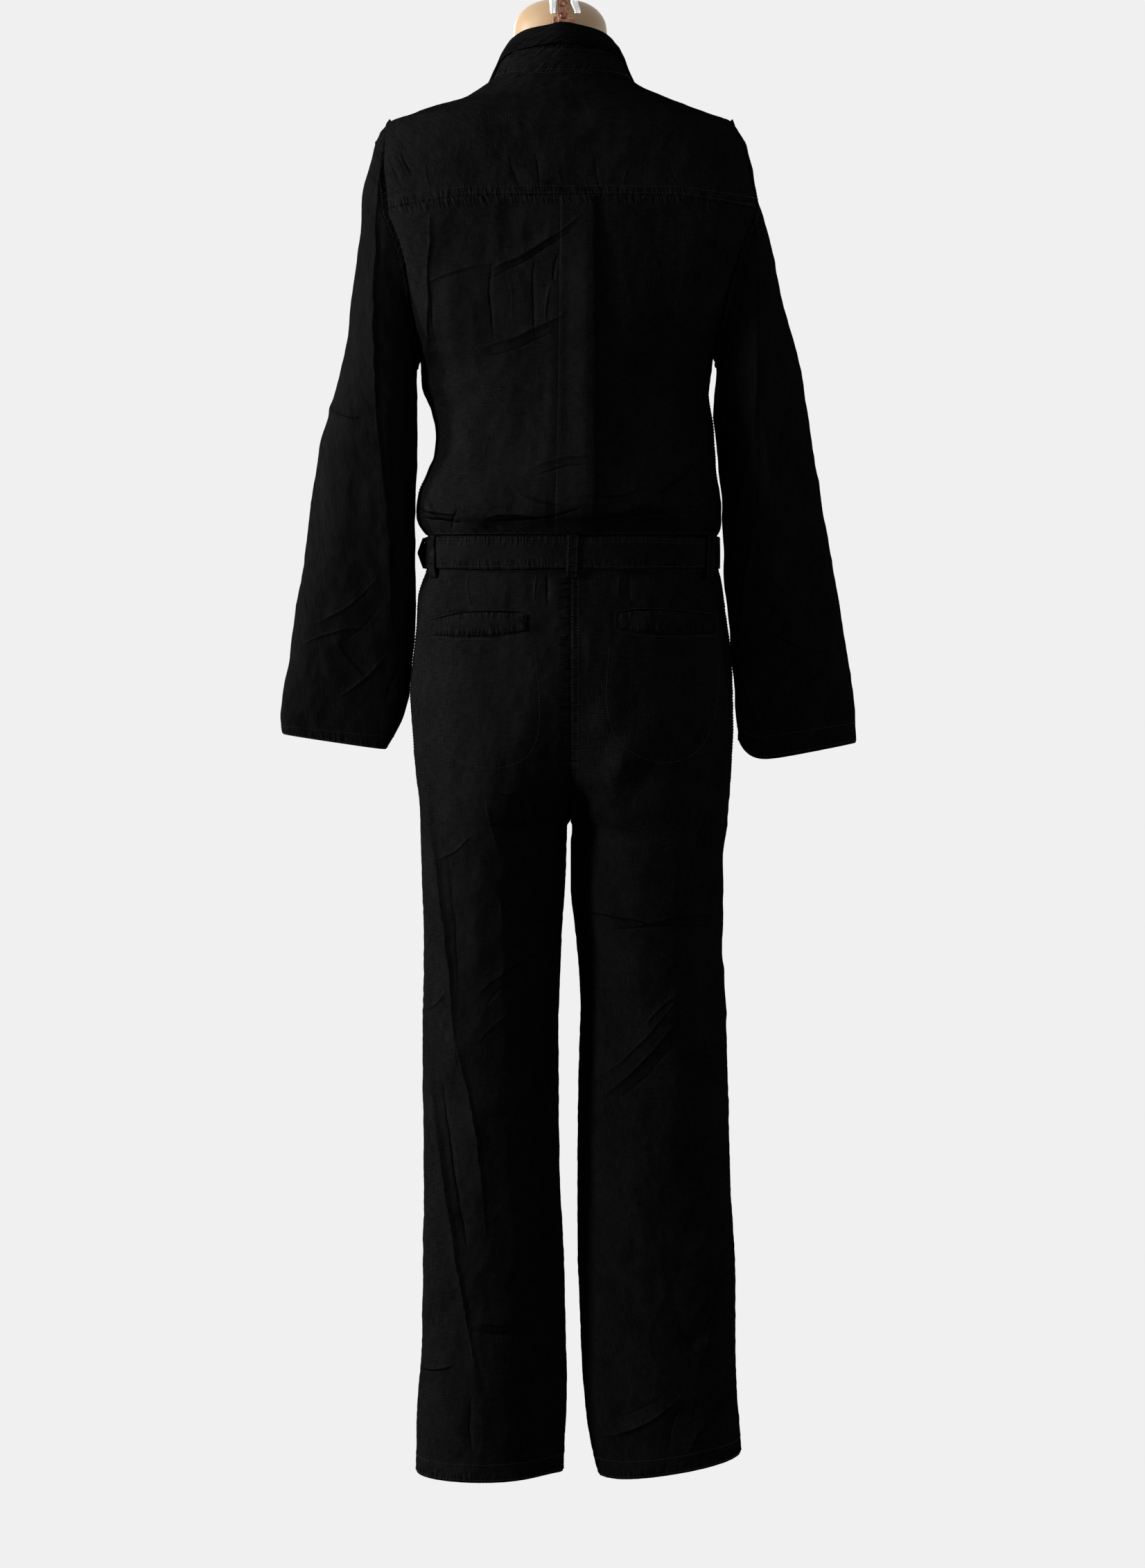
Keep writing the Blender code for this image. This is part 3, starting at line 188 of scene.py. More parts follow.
BODICE = Sections(
    "height sway half back front back_edge front_edge",
    (-109, 9, 69, 60, -58, -2, -2),
    (-116, 9, 78, 64, -62, -3, -3),
    (-124, 7.5, 91.5, 69, -66, -3, -3),
    (-132, 6, 109, 74, -70, -4, -4),
    (-140, 8.5, 135, 79, -73, -5, -5),
    (-147, 10, 157, 83, -75, -6, -6),
    (-154, 10, 178, 86, -77, -6, -6),
    (-163, 9, 180, 90, -79, 13, -24),
    (-178, 7, 182, 95, -82, 30, -39),
    (-202, 4, 184.5, 101, -88, 43, -50),
    (-240, -1, 185.5, 107, -99, 54, -56),
    (-264, -1, 178, 110, -109, 60, -59),
    (-296, 0, 168, 112, -117, 62, -60),
    (-328, 2, 161, 112, -120, 59, -57),
    (-358, 3, 156, 111, -119, 49, -47),
    (-382, 4, 152, 110, -116, 31, -30),
    (-396, 4, 150, 109, -114, 0, 0),
    (-427, 5, 147, 107, -109, 0, 0),
    (-450, -1, 143, 105, -106, 0, 0),
    (-473, -5, 142.4, 104, -104, 0, 0),
    (-495, -4.5, 144, 104, -103, 0, 0),
    (-516, -1, 149, 107, -104, 0, 0),
    (-536, 1.7, 154.3, 111, -107, 0, 0),
    (-551, 1.5, 156, 115, -110, 0, 0),
    (-560, 1.5, 156, 114, -109, 0, 0),
    (-566, 0.7, 155.3, 106, -102, 0, 0),
    (-572, -0.5, 153, 101, -94, 0, 0),
    (-579, -2, 149, 98, -90.5, 0, 0),
)

FRONT_NECK = Sections("height half", (-109, 69), (-116, 66), (-124, 60), (-132, 52), (-140, 43), (-147, 34),
                      (-154, 25), (-160, 14), (-165, 0))

# One trouser side: the outseam, the middle of the leg's section, and its depths. Above the crotch the
# section is cut at the centre seam, and it closes into a leg as its middle moves out.
LEG_LEFT = Sections(
    "height outer middle back front",
    (-579.4, 147, 0, 97.5, -90),
    (-612, 147.5, 0, 97.5, -90),
    (-625, 151.5, 0, 99, -91),
    (-640, 156, 0, 101, -93),
    (-672, 158, 0, 105, -96),
    (-700, 161, 0, 110, -99),
    (-740, 164.5, 2, 114, -102),
    (-775, 162, 18, 115, -103),
    (-805, 160, 38, 113, -102),
    (-830, 157.5, 55, 109, -99),
    (-850, 155, 67, 105, -96),
    (-865, 154, 74.5, 102, -93),
    (-876, 153.8, 78.7, 100, -91),
    (-930, 152.5, 79, 94, -86),
    (-1000, 150.5, 80, 86, -80),
    (-1080, 151.5, 82, 79, -74),
    (-1160, 151, 82, 73, -69),
    (-1250, 150.5, 80.5, 67, -64),
    (-1340, 151, 78.5, 61, -60),
    (-1410, 152.5, 78.5, 57, -57),
    (-1470, 157, 80.5, 55, -56),
    (-1520, 158.5, 82.5, 54, -55),
    (-1538, 159, 83, 54, -55),
)

LEG_RIGHT = Sections(
    "height outer middle back front",
    (-579.4, 151, 0, 97.5, -90),
    (-612, 151.5, 0, 97.5, -90),
    (-625, 154.5, 0, 99, -91),
    (-660, 159.5, 0, 104, -95),
    (-700, 164.5, 0, 110, -99),
    (-740, 166.5, 2, 114, -102),
    (-775, 167, 18, 115, -103),
    (-805, 165.5, 38, 113, -102),
    (-830, 164, 55, 109, -99),
    (-850, 162.5, 67, 105, -96),
    (-865, 161, 75.5, 102, -93),
    (-876, 160.2, 80.8, 100, -91),
    (-905, 155.8, 77.2, 97, -88),
    (-930, 155.5, 77.4, 94, -86),
    (-1000, 155, 81, 86, -80),
    (-1080, 159.5, 84.8, 79, -74),
    (-1160, 162, 85, 73, -69),
    (-1250, 164.5, 85.8, 67, -64),
    (-1340, 169.5, 89, 61, -60),
    (-1410, 169.5, 90.3, 57, -57),
    (-1470, 171, 93.5, 56, -56),
    (-1512, 174.5, 99, 54, -55),
    (-1530, 175.5, 102, 53, -54),
)

# Rings of an empty sleeve: the outer and inner ends of each slanting section, its depths, how round
# it is, and how far it has left the armhole's own shape.
SLEEVE_LEFT = Sections(
    "ring outer_x outer_z inner_x inner_z back front square leave droop",
    (0, 188, -154, 154, -396, 62, -60, 2.0, 0, 0),
    (1, 197, -169, 156, -403, 64, -60, 2.0, 0.0, 0),
    (2, 204.5, -194, 156.5, -411, 66, -61, 1.9, 0.1, 0),
    (3, 212.5, -228, 157, -421, 67, -61, 1.75, 0.3, 0),
    (4, 216, -272, 157, -435, 67, -60, 1.65, 0.5, 0),
    (5, 224, -328, 157, -456, 66, -58, 1.55, 0.7, 0),
    (6, 230.5, -383, 157, -480, 64, -55, 1.5, 0.88, 0),
    (7, 243.5, -436, 157.5, -507, 61, -52, 1.5, 1, 0),
    (8, 255.5, -476, 159.5, -536, 57, -48, 1.5, 1, 0),
    (9, 263.5, -528, 160, -572, 51, -43, 1.5, 1, 0),
    (10, 270.5, -582, 159.8, -614, 44, -38, 1.55, 1, 0),
    (11, 280, -637, 160, -658, 36, -32, 1.6, 1, 0),
    (12, 287.5, -690, 162.2, -704, 29, -26, 1.75, 1, 0),
    (13, 295, -738, 166.5, -743, 23, -21, 1.9, 1, 0),
    (14, 298.5, -766, 176.5, -774, 19, -17, 2, 1, 0),
    (15, 297, -783, 190, -799, 17, -16, 2, 1, 0),
)

SLEEVE_RIGHT = Sections(
    "ring outer_x outer_z inner_x inner_z back front square leave droop",
    (0, 168, -154, 146, -396, 62, -60, 2.0, 0, 0),
    (1, 175, -169, 149, -403, 64, -60, 2.0, 0.0, 0),
    (2, 180.5, -194, 150, -411, 66, -61, 1.9, 0.1, 0),
    (3, 190, -228, 149, -421, 67, -61, 1.75, 0.25, 0),
    (4, 203, -272, 147.5, -435, 67, -60, 1.65, 0.45, 0),
    (5, 216, -328, 147, -456, 66, -58, 1.55, 0.65, 0),
    (6, 230, -383, 150, -480, 64, -55, 1.5, 0.85, 0),
    (7, 238.5, -430, 152.5, -507, 61, -52, 1.5, 1, 0),
    (8, 247, -476, 155, -536, 57, -48, 1.5, 1, 0),
    (9, 256, -528, 157, -572, 51, -43, 1.5, 1, 0),
    (10, 265, -582, 158, -614, 44, -38, 1.55, 1, 0),
    (11, 274.5, -637, 162, -658, 36, -32, 1.6, 1, 0),
    (12, 283.5, -690, 165, -702, 29, -26, 1.75, 1, 1),
    (13, 290.5, -738, 168, -742, 23, -21, 1.9, 1, 4),
    (14, 293, -769, 171, -774, 19, -17, 2, 1, 13),
    (15, 295, -792, 173, -791, 17, -16, 2, 1, 24),
)

# The collar's sections from centre back (0) to centre front (1): steps out from and up from the neck seam
COLLAR = Sections(
    "share stand_out stand_up roll_out roll_up edge_out edge_up edge_back",
    (0.0, -2.5, 24.5, -5, 49, 1.5, 28.5, 0),
    (0.2, -7, 24.5, -14, 43, -5, 23.5, 0),
    (0.33, -10, 24, -19, 39.5, -6, 18, 0),
    (0.45, -10, 23.5, -17, 37, -1, 9, 0),
    (0.5, -9, 23.5, -16, 36, 6, -2.5, 0),
    (0.62, -8, 24, -14, 34, 18, -8, 0),
    (0.8, -6, 25, -9, 33, 24, -24, 6),
    (1.0, -4, 26, -5, 32, 14, -34, 26),
)

# The torso form below its shoulders, and its neck
FORM_BODY = Sections(
    "height sway half back front back_edge front_edge",
    (-163, 9, 174, 86, -74, 10, -20),
    (-180, 8, 175, 91, -77, 24, -32),
    (-205, 6, 174, 97, -83, 36, -42),
    (-245, 4, 168, 102, -95, 45, -48),
    (-300, 4, 156, 104, -110, 44, -45),
    (-355, 4, 145, 103, -112, 26, -26),
    (-400, 4, 138, 99, -105, 0, 0),
    (-455, 4, 131, 95, -96, 0, 0),
    (-520, 3, 124, 90, -87, 0, 0),
    (-590, 2, 127, 90, -84, 0, 0),
    (-660, 1, 141, 98, -88, 0, 0),
    (-730, 0, 147, 103, -92, 0, 0),
    (-785, 0, 144, 98, -86, 0, 0),
    (-814, 0, 122, 80, -68, 0, 0),
    (-826, 0, 84, 52, -42, 0, 0),
)

FORM_NECK = Sections(
    "height half back front",
    (-29, 17, 14, -16),
    (-33, 29, 24, -27),
    (-40, 39, 33, -37),
    (-50, 45.8, 39.5, -45),
    (-62, 47.9, 42, -49),
    (-78, 48, 43, -51),
    (-96, 49.5, 43.5, -53),
    (-106, 56, 46, -56),
)

# Creases: from one end to the other in the plane seen from behind, how far the middle bows aside, the
# width, how much steeper one flank is, and the height. A trough has a height below zero.
CREASE_COLUMNS = "x0 z0 x1 z1 bow width lean height"
YOKE_CREASES = (
    (170, -190, 158, -217, 2, 5, 0.2, -2.6),
    (184, -200, 172, -228, -2, 5, 0.2, -2.2),
    (146, -205, 140, -232, 1, 6, 0.1, 1.2),
    (60, -200, 48, -236, 3, 5, 0.3, -1.6),
    (36, -196, 30, -236, -2, 5, -0.2, -1.6),
    (14, -204, 6, -234, 2, 5, 0.1, 1.0),
    (-26, -200, -30, -236, 2, 6, 0.2, -1.5),
    (-60, -206, -52, -236, 2, 6, 0.2, 1.0),
    (-98, -200, -112, -232, 3, 7, 0.1, -1.2),
    (60, -178, -40, -172, 8, 12, 0.2, 1.4),
    (110, -150, 60, -196, 6, 14, 0.2, 1.4),
    (-150, -190, -166, -226, 2, 7, 0.1, -1.8),
)
BACK_CREASES = (
    (139, -256, 142, -450, 3, 8, 0.4, 6.0),
    (-9, -262, 80, -313, -4, 7, 0.3, 4.2),
    (-4, -274, 84, -325, -3, 7, 0.2, -1.6),
    (75, -308, 152, -330, 4, 8, 0.2, 2.4),
    (4, -356, 96, -392, -5, 8, 0.3, 3.4),
    (10, -372, 88, -402, -4, 8, 0.1, -1.4),
    (79, -310, 77, -384, 2, 7, 0.2, -2.6),
    (62, -318, 58, -372, -2, 11, 0.1, 1.6),
    (36, -308, 34, -382, 2, 8, 0.2, -2.6),
    (12, -300, 17, -326, 1, 5, 0.2, -3.6),
    (20, -330, 24, -372, 2, 7, 0.1, 2.0),
    (118, -288, 112, -420, 4, 13, 0.2, 2.6),
    (140, -300, 132, -400, 3, 10, 0.2, -2.4),
    (-28, -499, 46, -514, 4, 7, 0.3, 3.0),
    (-22, -508, 40, -522, 3, 7, 0.1, -2.0),
    (-141, -488, -86, -534, -5, 8, 0.3, 4.2),
    (-134, -498, -80, -542, -4, 8, 0.1, -3.6),
    (156, -549, 112, -557, 3, 7, 0.3, 4.0),
    (150, -560, 108, -566, 2, 7, 0.1, -4.4),
    (113, -552, 120, -574, 1, 5, 0.2, -2.6),
    (82, -560, 20, -564, -3, 6, 0.3, 3.2),
    (76, -566, -12, -553, 3, 7, 0.2, -4.6),
    (-26, -562, -96, -552, -3, 7, 0.2, 3.0),
    (-30, -566, -100, -557, -3, 7, 0.2, -4.6),
    (-92, -550, -140, -556, 2, 7, 0.2, 2.4),
    (-60, -262, -84, -300, 4, 12, 0.2, 1.6),
    (-44, -300, -50, -470, 5, 13, 0.3, 2.2),
    (-96, -290, -104, -440, 6, 15, 0.2, -2.2),
    (-134, -300, -122, -420, 4, 12, 0.2, 2.0),
    (-60, -420, -120, -440, 6, 12, 0.2, -1.8),
    (54, -440, 120, -470, 6, 13, 0.2, 1.8),
    (96, -470, 60, -530, 5, 14, 0.2, -2.0),
    (130, -420, 116, -480, 4, 12, 0.1, 2.2),
    (147, -536, 128, -566, 2, 6, 0.2, 3.6),
    (56, -534, 10, -548, 3, 6, 0.2, 3.2),
    (-8, -540, -70, -534, 3, 6, 0.2, 3.0),
    (-110, -520, -134, -548, 3, 7, 0.2, 3.0),
)
FRONT_CREASES = (
    (150, -200, 96, -262, 6, 12, 0.2, 3.4),
    (140, -226, 88, -288, 5, 12, 0.2, -3.0),
    (56, -190, 78, -300, 6, 14, 0.2, 2.6),
    (40, -300, 118, -372, -8, 13, 0.2, -3.4),
    (118, -318, 96, -420, 6, 13, 0.2, 3.0),
    (34, -420, 92, -452, 6, 12, 0.2, 2.4),
    (26, -500, 108, -512, 4, 9, 0.3, 3.4),
    (60, -524, 130, -536, 4, 8, 0.3, -3.2),
    (36, -548, 96, -556, 3, 8, 0.2, 3.0),
    (130, -440, 110, -520, 5, 13, 0.2, -2.6),
)
SEAT_CREASES_LEFT = (
    (149, -806, 115, -1112, -5, 7, 0.42, 7.0),
    (145, -830, 112, -1140, -5, 18, 0.0, 4.0),
    (116, -1088, 86, -1288, -6, 7, 0.4, 6.0),
    (148, -1058, 96, -1424, 4, 7, 0.42, 7.0),
    (130, -1120, 104, -1300, 2, 9, 0.2, -4.5),
    (126, -880, 112, -1060, -4, 11, 0.3, -3.6),
    (99, -1382, 44, -1384, 4, 6, 0.3, -4.2),
    (96, -1374, 50, -1374, 3, 7, 0.1, 2.2),
    (152, -1428, 118, -1418, 3, 7, 0.2, 3.0),
    (76, -1432, 6, -1418, 5, 9, 0.2, 2.8),
    (100, -1450, 99, -1510, 2, 7, 0.2, -2.8),
    (84, -845, 62, -912, 4, 8, 0.3, 3.4),
    (74, -930, 70, -996, -3, 8, 0.3, 2.8),
    (48, -836, 38, -888, 4, 7, 0.2, 3.0),
    (34, -846, 26, -910, 3, 8, 0.2, -2.4),
    (78, -833, 48, -836, 3, 6, 0.2, 2.4),
    (134, -906, 98, -878, 3, 9, 0.2, 2.6),
    (92, -1040, 22, -998, -6, 7, 0.3, 3.8),
    (84, -1050, 30, -1012, -5, 7, 0.2, -2.6),
    (60, -1058, 92, -1088, 3, 7, 0.2, 2.4),
    (146, -1060, 124, -1036, 3, 7, 0.2, 2.6),
    (60, -1180, 40, -1320, 5, 16, 0.2, 2.6),
    (30, -1110, 24, -1260, 4, 12, 0.2, -2.4),
    (118, -706, 96, -770, 6, 20, 0.1, 2.0),
    (52, -700, 62, -790, 6, 20, 0.1, -2.0),
    (23, -616, 22, -648, 1, 5, 0.2, -2.6),
    (34, -618, 36, -646, 1, 6, 0.1, 1.6),
    (104, -616, 100, -652, 2, 7, 0.1, 1.6),
)
SEAT_CREASES_RIGHT = (
    (-100, -736, -28, -828, -5, 17, 0.2, 6.5),
    (-74, -742, -10, -818, -4, 15, 0.1, -2.0),
    (-84, -790, -48, -850, -3, 14, 0.1, -3.0),
    (-100, -800, -66, -866, -3, 14, 0.2, 3.0),
    (-152, -735, -149, -846, -4, 7, 0.3, 3.6),
    (-151, -840, -122, -944, 4, 8, 0.3, 3.8),
    (-140, -850, -114, -960, 4, 9, 0.1, -3.2),
    (-18, -960, -86, -970, -3, 6, 0.2, 2.6),
    (-70, -969, -152, -963, -3, 6, 0.2, 2.6),
    (-40, -976, -140, -974, -4, 8, 0.1, -2.2),
    (-9, -1000, -20, -1034, 2, 6, 0.2, 2.6),
    (-30, -1030, -36, -1066, 2, 7, 0.3, 4.4),
    (-36, -1062, -28, -1146, -3, 7, 0.3, 3.4),
    (-113, -1056, -28, -1150, -4, 8, 0.3, 3.6),
    (-124, -1064, -46, -1150, -4, 11, 0.1, -2.2),
    (-106, -1040, -76, -1070, 3, 6, 0.2, 2.8),
    (-134, -1004, -26, -1132, -6, 10, 0.2, 3.6),
    (-156, -1016, -138, -1042, 2, 8, 0.2, 3.0),
    (-60, -1180, -86, -1330, 6, 16, 0.2, 2.6),
    (-120, -1150, -132, -1280, 5, 15, 0.2, -2.6),
    (-160, -1302, -146, -1352, 3, 8, 0.2, 3.6),
    (-162, -1344, -132, -1418, 3, 8, 0.3, 3.6),
    (-150, -1340, -124, -1406, 3, 11, 0.1, -2.4),
    (-110, -1376, -135, -1414, 3, 7, 0.2, -3.2),
    (-172, -1286, -118, -1384, -5, 9, 0.3, 4.2),
    (-112, -1448, -32, -1496, -5, 8, 0.3, 3.8),
    (-104, -1440, -30, -1480, -4, 11, 0.1, -1.8),
    (-166, -1434, -144, -1480, 3, 7, 0.3, 3.6),
    (-146, -1470, -118, -1506, 3, 7, 0.3, 3.2),
    (-111, -1460, -99, -1504, 2, 7, 0.2, -2.6),
    (-61, -614, -60, -644, 1, 5, 0.2, -2.4),
    (-50, -616, -48, -642, 1, 6, 0.1, 1.4),
    (-112, -616, -108, -650, 2, 7, 0.1, 1.6),
)
FRONT_LEG_CREASES = (
    (24, -772, 118, -716, -8, 12, 0.2, 4.0),
    (20, -800, 108, -748, -7, 11, 0.2, -3.6),
    (26, -826, 92, -790, -6, 12, 0.2, 3.2),
    (82, -880, 96, -1010, 5, 9, 0.3, 4.0),
    (96, -1000, 90, -1180, -5, 9, 0.3, 4.2),
    (112, -930, 120, -1080, 4, 10, 0.2, -3.2),
    (34, -1050, 116, -1086, 6, 8, 0.3, 4.4),
    (40, -1066, 122, -1104, 6, 8, 0.1, -3.8),
    (52, -1110, 130, -1130, 5, 8, 0.2, 3.4),
    (116, -1180, 84, -1330, 6, 9, 0.3, 4.0),
    (60, -1240, 72, -1400, 5, 12, 0.2, -3.0),
    (120, -1370, 58, -1418, -5, 9, 0.3, 3.8),
    (46, -1446, 120, -1468, 5, 9, 0.2, 3.4),
    (140, -1400, 112, -1490, 4, 10, 0.2, -3.0),
)
SLEEVE_CREASES_LEFT = (
    (191, -176, 196, -474, 3, 8, 0.3, 8.0),
    (196, -464, 184, -670, -3, 8, 0.3, 7.0),
    (190, -190, 195, -500, 3, 17, 0.0, 6.0),
    (194, -450, 182, -690, -3, 18, 0.0, 6.0),
    (243, -250, 241, -350, 3, 8, 0.2, -2.6),
    (256, -440, 214, -460, 4, 8, 0.3, 3.4),
    (250, -458, 206, -474, 3, 11, 0.1, -2.0),
    (206, -208, 178, -236, 3, 8, 0.2, 2.8),
    (266, -560, 226, -584, 4, 12, 0.2, 2.2),
    (196, -620, 262, -668, -6, 9, 0.2, 2.4),
    (190, -644, 240, -692, -5, 11, 0.1, -2.4),
    (206, -672, 276, -690, 4, 8, 0.2, 2.2),
    (240, -686, 210, -724, 3, 7, 0.2, 3.2),
    (276, -694, 226, -744, 4, 12, 0.1, -2.4),
    (188, -700, 236, -742, -3, 7, 0.3, 3.0),
    (170, -706, 190, -752, 2, 7, 0.2, -2.6),
)
SLEEVE_CREASES_RIGHT = (
    (-184, -236, -192, -290, 3, 8, 0.2, 3.4),
    (-192, -284, -192, -560, 4, 8, 0.42, 5.0),
    (-192, -545, -174, -682, 3, 9, 0.3, 3.6),
    (-210, -300, -212, -470, 4, 13, 0.2, -2.6),
    (-232, -360, -246, -560, 4, 14, 0.2, 2.0),
    (-238, -420, -200, -444, 4, 9, 0.2, 2.6),
    (-196, -610, -256, -664, 5, 9, 0.3, 3.0),
    (-186, -630, -236, -680, 4, 8, 0.2, -2.6),
    (-210, -680, -272, -700, 4, 8, 0.3, 2.8),
    (-236, -700, -204, -744, 3, 8, 0.2, 3.0),
    (-270, -706, -228, -760, 4, 8, 0.2, -2.4),
    (-176, -716, -196, -776, 3, 8, 0.2, 2.6),
)

PANELS = {}
MATERIALS = {}


def unit(vectors):
    return vectors / np.maximum(np.linalg.norm(vectors, axis=-1, keepdims=True), 1e-9)


def soft(values, low, high):
    """0 below low, 1 above high, and a smooth climb between them."""
    t = np.clip((values - low) / (high - low), 0, 1)
    return t * t * (3 - 2 * t)


def noise_at(points, scale, seed=0.0):
    """Smooth noise from -1 to 1 at each point; scale is the size of its lumps in mm, one for each axis."""
    flat = (points / np.array(scale, float)).reshape(-1, 3)
    read = noise.noise
    values = [read(Vector((a + seed, b - seed, c + 0.37 * seed))) for a, b, c in flat]
    return np.array(values).reshape(points.shape[:-1])


def grid_normals(grid, core, closed=False):
    """Outward unit normals at a grid's points; core lies inside, as one point or one for each row."""
    if closed:
        across = np.roll(grid, -1, axis=1) - np.roll(grid, 1, axis=1)
    else:
        across = np.gradient(grid, axis=1)
    normal = unit(np.cross(across, np.gradient(grid, axis=0)))
    return normal if np.sum(normal * (grid - core)) > 0 else -normal


def evenly(points, shares):
    """Points at the given shares of a line's length."""
    steps = np.linalg.norm(np.diff(points, axis=0), axis=1)
    length = np.concatenate([[0], np.cumsum(steps)])
    where = np.atleast_1d(shares) * length[-1]
    return np.column_stack([np.interp(where, length, points[:, i]) for i in range(3)])


def through(rows, count):
    """A smooth curve through rows of points, read at count places."""
    rows = np.asarray(rows, float)
    padded = np.concatenate([[2 * rows[0] - rows[1]], rows, [2 * rows[-1] - rows[-2]]])
    place = np.linspace(0, len(rows) - 1, count)
    i = np.minimum(place.astype(int), len(rows) - 2)
    t = (place - i).reshape((-1,) + (1,) * (rows.ndim - 1))
    a, b, c, d = (padded[i + k] for k in range(4))
    return 0.5 * (2 * b + (c - a) * t + (2 * a - 5 * b + 4 * c - d) * t**2 + (3 * b - a - 3 * c + d) * t**3)


def spaced(length, pitch=PITCH):
    """Places along a length, closer together at both ends, where the seams are."""
    ends = np.array([0.0, 0.7, 1.5, 2.6, 4.2])
    count = max(2, int((length - 14) / pitch) + 1)
    return np.concatenate([ends, np.linspace(7, length - 7, count), length - ends[::-1]])


def arc_lengths(grid, closed=False):
    """How far each point lies along its row, how far down its column, and the whole of each."""
    across = np.linalg.norm(np.diff(grid, axis=1), axis=-1)
    down = np.linalg.norm(np.diff(grid, axis=0), axis=-1)
    u = np.concatenate([np.zeros((len(grid), 1)), np.cumsum(across, axis=1)], axis=1)
    v = np.concatenate([np.zeros((1, grid.shape[1])), np.cumsum(down, axis=0)])
    whole_u = u[:, -1:].copy()
    if closed:
        whole_u += np.linalg.norm(grid[:, :1] - grid[:, -1:], axis=-1)
    return u, v, whole_u, v[-1:].copy()


def plain_panel(grid, core):
    """A small panel as it lies, with its normals and its lengths along the cloth."""
    u, v, whole_u, _ = arc_lengths(grid)
    return SimpleNamespace(grid=grid, normal=grid_normals(grid, core), u=u, v=v, whole_u=whole_u)


def seam_reach(grid, closed=False, seams="tbsS"):
    """How far each point is from the nearest seam across its columns, and from the nearest across its rows."""
    u, v, whole_u, whole_v = arc_lengths(grid, closed)
    reach = np.full(grid.shape[:2] + (2,), FAR)
    for letter, way, distance in (("t", 0, v), ("b", 0, whole_v - v), ("s", 1, u), ("S", 1, whole_u - u)):
        if letter in seams and not (closed and way):
            reach[..., way] = np.minimum(reach[..., way], distance)
    return reach


def read_creases(grid, creases):
    """For each crease: its row, how far each point is beside it, and how far along it (0 to 1, or beyond)."""
    stray = 1.3 * noise_at(grid, (21, 21, 21), 77)
    for row in creases:
        c = SimpleNamespace(**dict(zip(CREASE_COLUMNS.split(), row)))
        run = np.array([c.x1 - c.x0, c.z1 - c.z0], float)
        side = np.array([-run[1], run[0]]) / np.linalg.norm(run)
        seen = grid[..., [0, 2]] - (c.x0, c.z0)
        t = seen @ run / (run @ run)
        held = np.clip(t, 0, 1)
        yield c, seen @ side - 4 * c.bow * held * (1 - held) + stray, t


def crease_push(grid, creases):
    """How far the creases push each point out: each is a soft ridge or trough with a shallow answer beside it."""
    push = np.zeros(grid.shape[:2])
    for c, off, t in read_creases(grid, creases):
        t = np.clip(t, 0, 1)
        flank = off / (CREASE_SHARP * c.width * (1 - c.lean * np.sign(off)))
        taper = np.sin(math.pi * t) ** 0.9 * (0.75 + 0.25 * np.sin(9 * t + c.x0))
        crest = np.exp(-0.8 * flank**2)
        bulk = CREASE_GAIN * min(1.0, max(0.35, (c.width - 3) / 10))
        push += bulk * c.height * taper * (crest - 0.16 * np.exp(-((np.abs(flank) - 2.2) ** 2)))
    return push


def fold_layers(grid, creases):
    """The sharp line along each crease, for the surface: distance beside it and height, layer by layer."""
    folds = np.full(grid.shape[:2] + (FOLD_LAYERS, 2), (FAR, 0.0))
    taken = [[] for _ in range(FOLD_LAYERS)]
    for c, off, t in read_creases(grid, creases):
        share = np.linspace(0, 1, 24)[:, None]
        ends = np.array([(c.x0, c.z0), (c.x1, c.z1)], float)
        side = np.array([ends[0, 1] - ends[1, 1], ends[1, 0] - ends[0, 0]]) / np.linalg.norm(ends[1] - ends[0])
        line = ends[0] * (1 - share) + ends[1] * share + side * 4 * c.bow * share * (1 - share)
        for layer, lines in enumerate(taken):
            apart = [np.linalg.norm(line[:, None] - other[None], axis=-1).min() for other in lines]
            if min(apart, default=FAR) > FOLD_APART:
                lines.append(line)
                beside = np.where(off > 0, off, off * max(0.4, 1 - 2 * c.lean))
                nearer = (t > -0.04) & (t < 1.04) & (np.abs(beside) < np.abs(folds[..., layer, 0]))
                crisp = min(1.0, max(0.0, (13 - c.width) / 5))
                height = FOLD_GAIN * crisp * c.height * np.sin(math.pi * np.clip(t, 0, 1)) ** 0.5
                height = np.where(np.abs(beside) < 2 * FOLD_REACH, height, 0.0)
                folds[..., layer, 0] = np.where(nearer, beside, folds[..., layer, 0])
                folds[..., layer, 1] = np.where(nearer, height, folds[..., layer, 1])
                break
    return folds


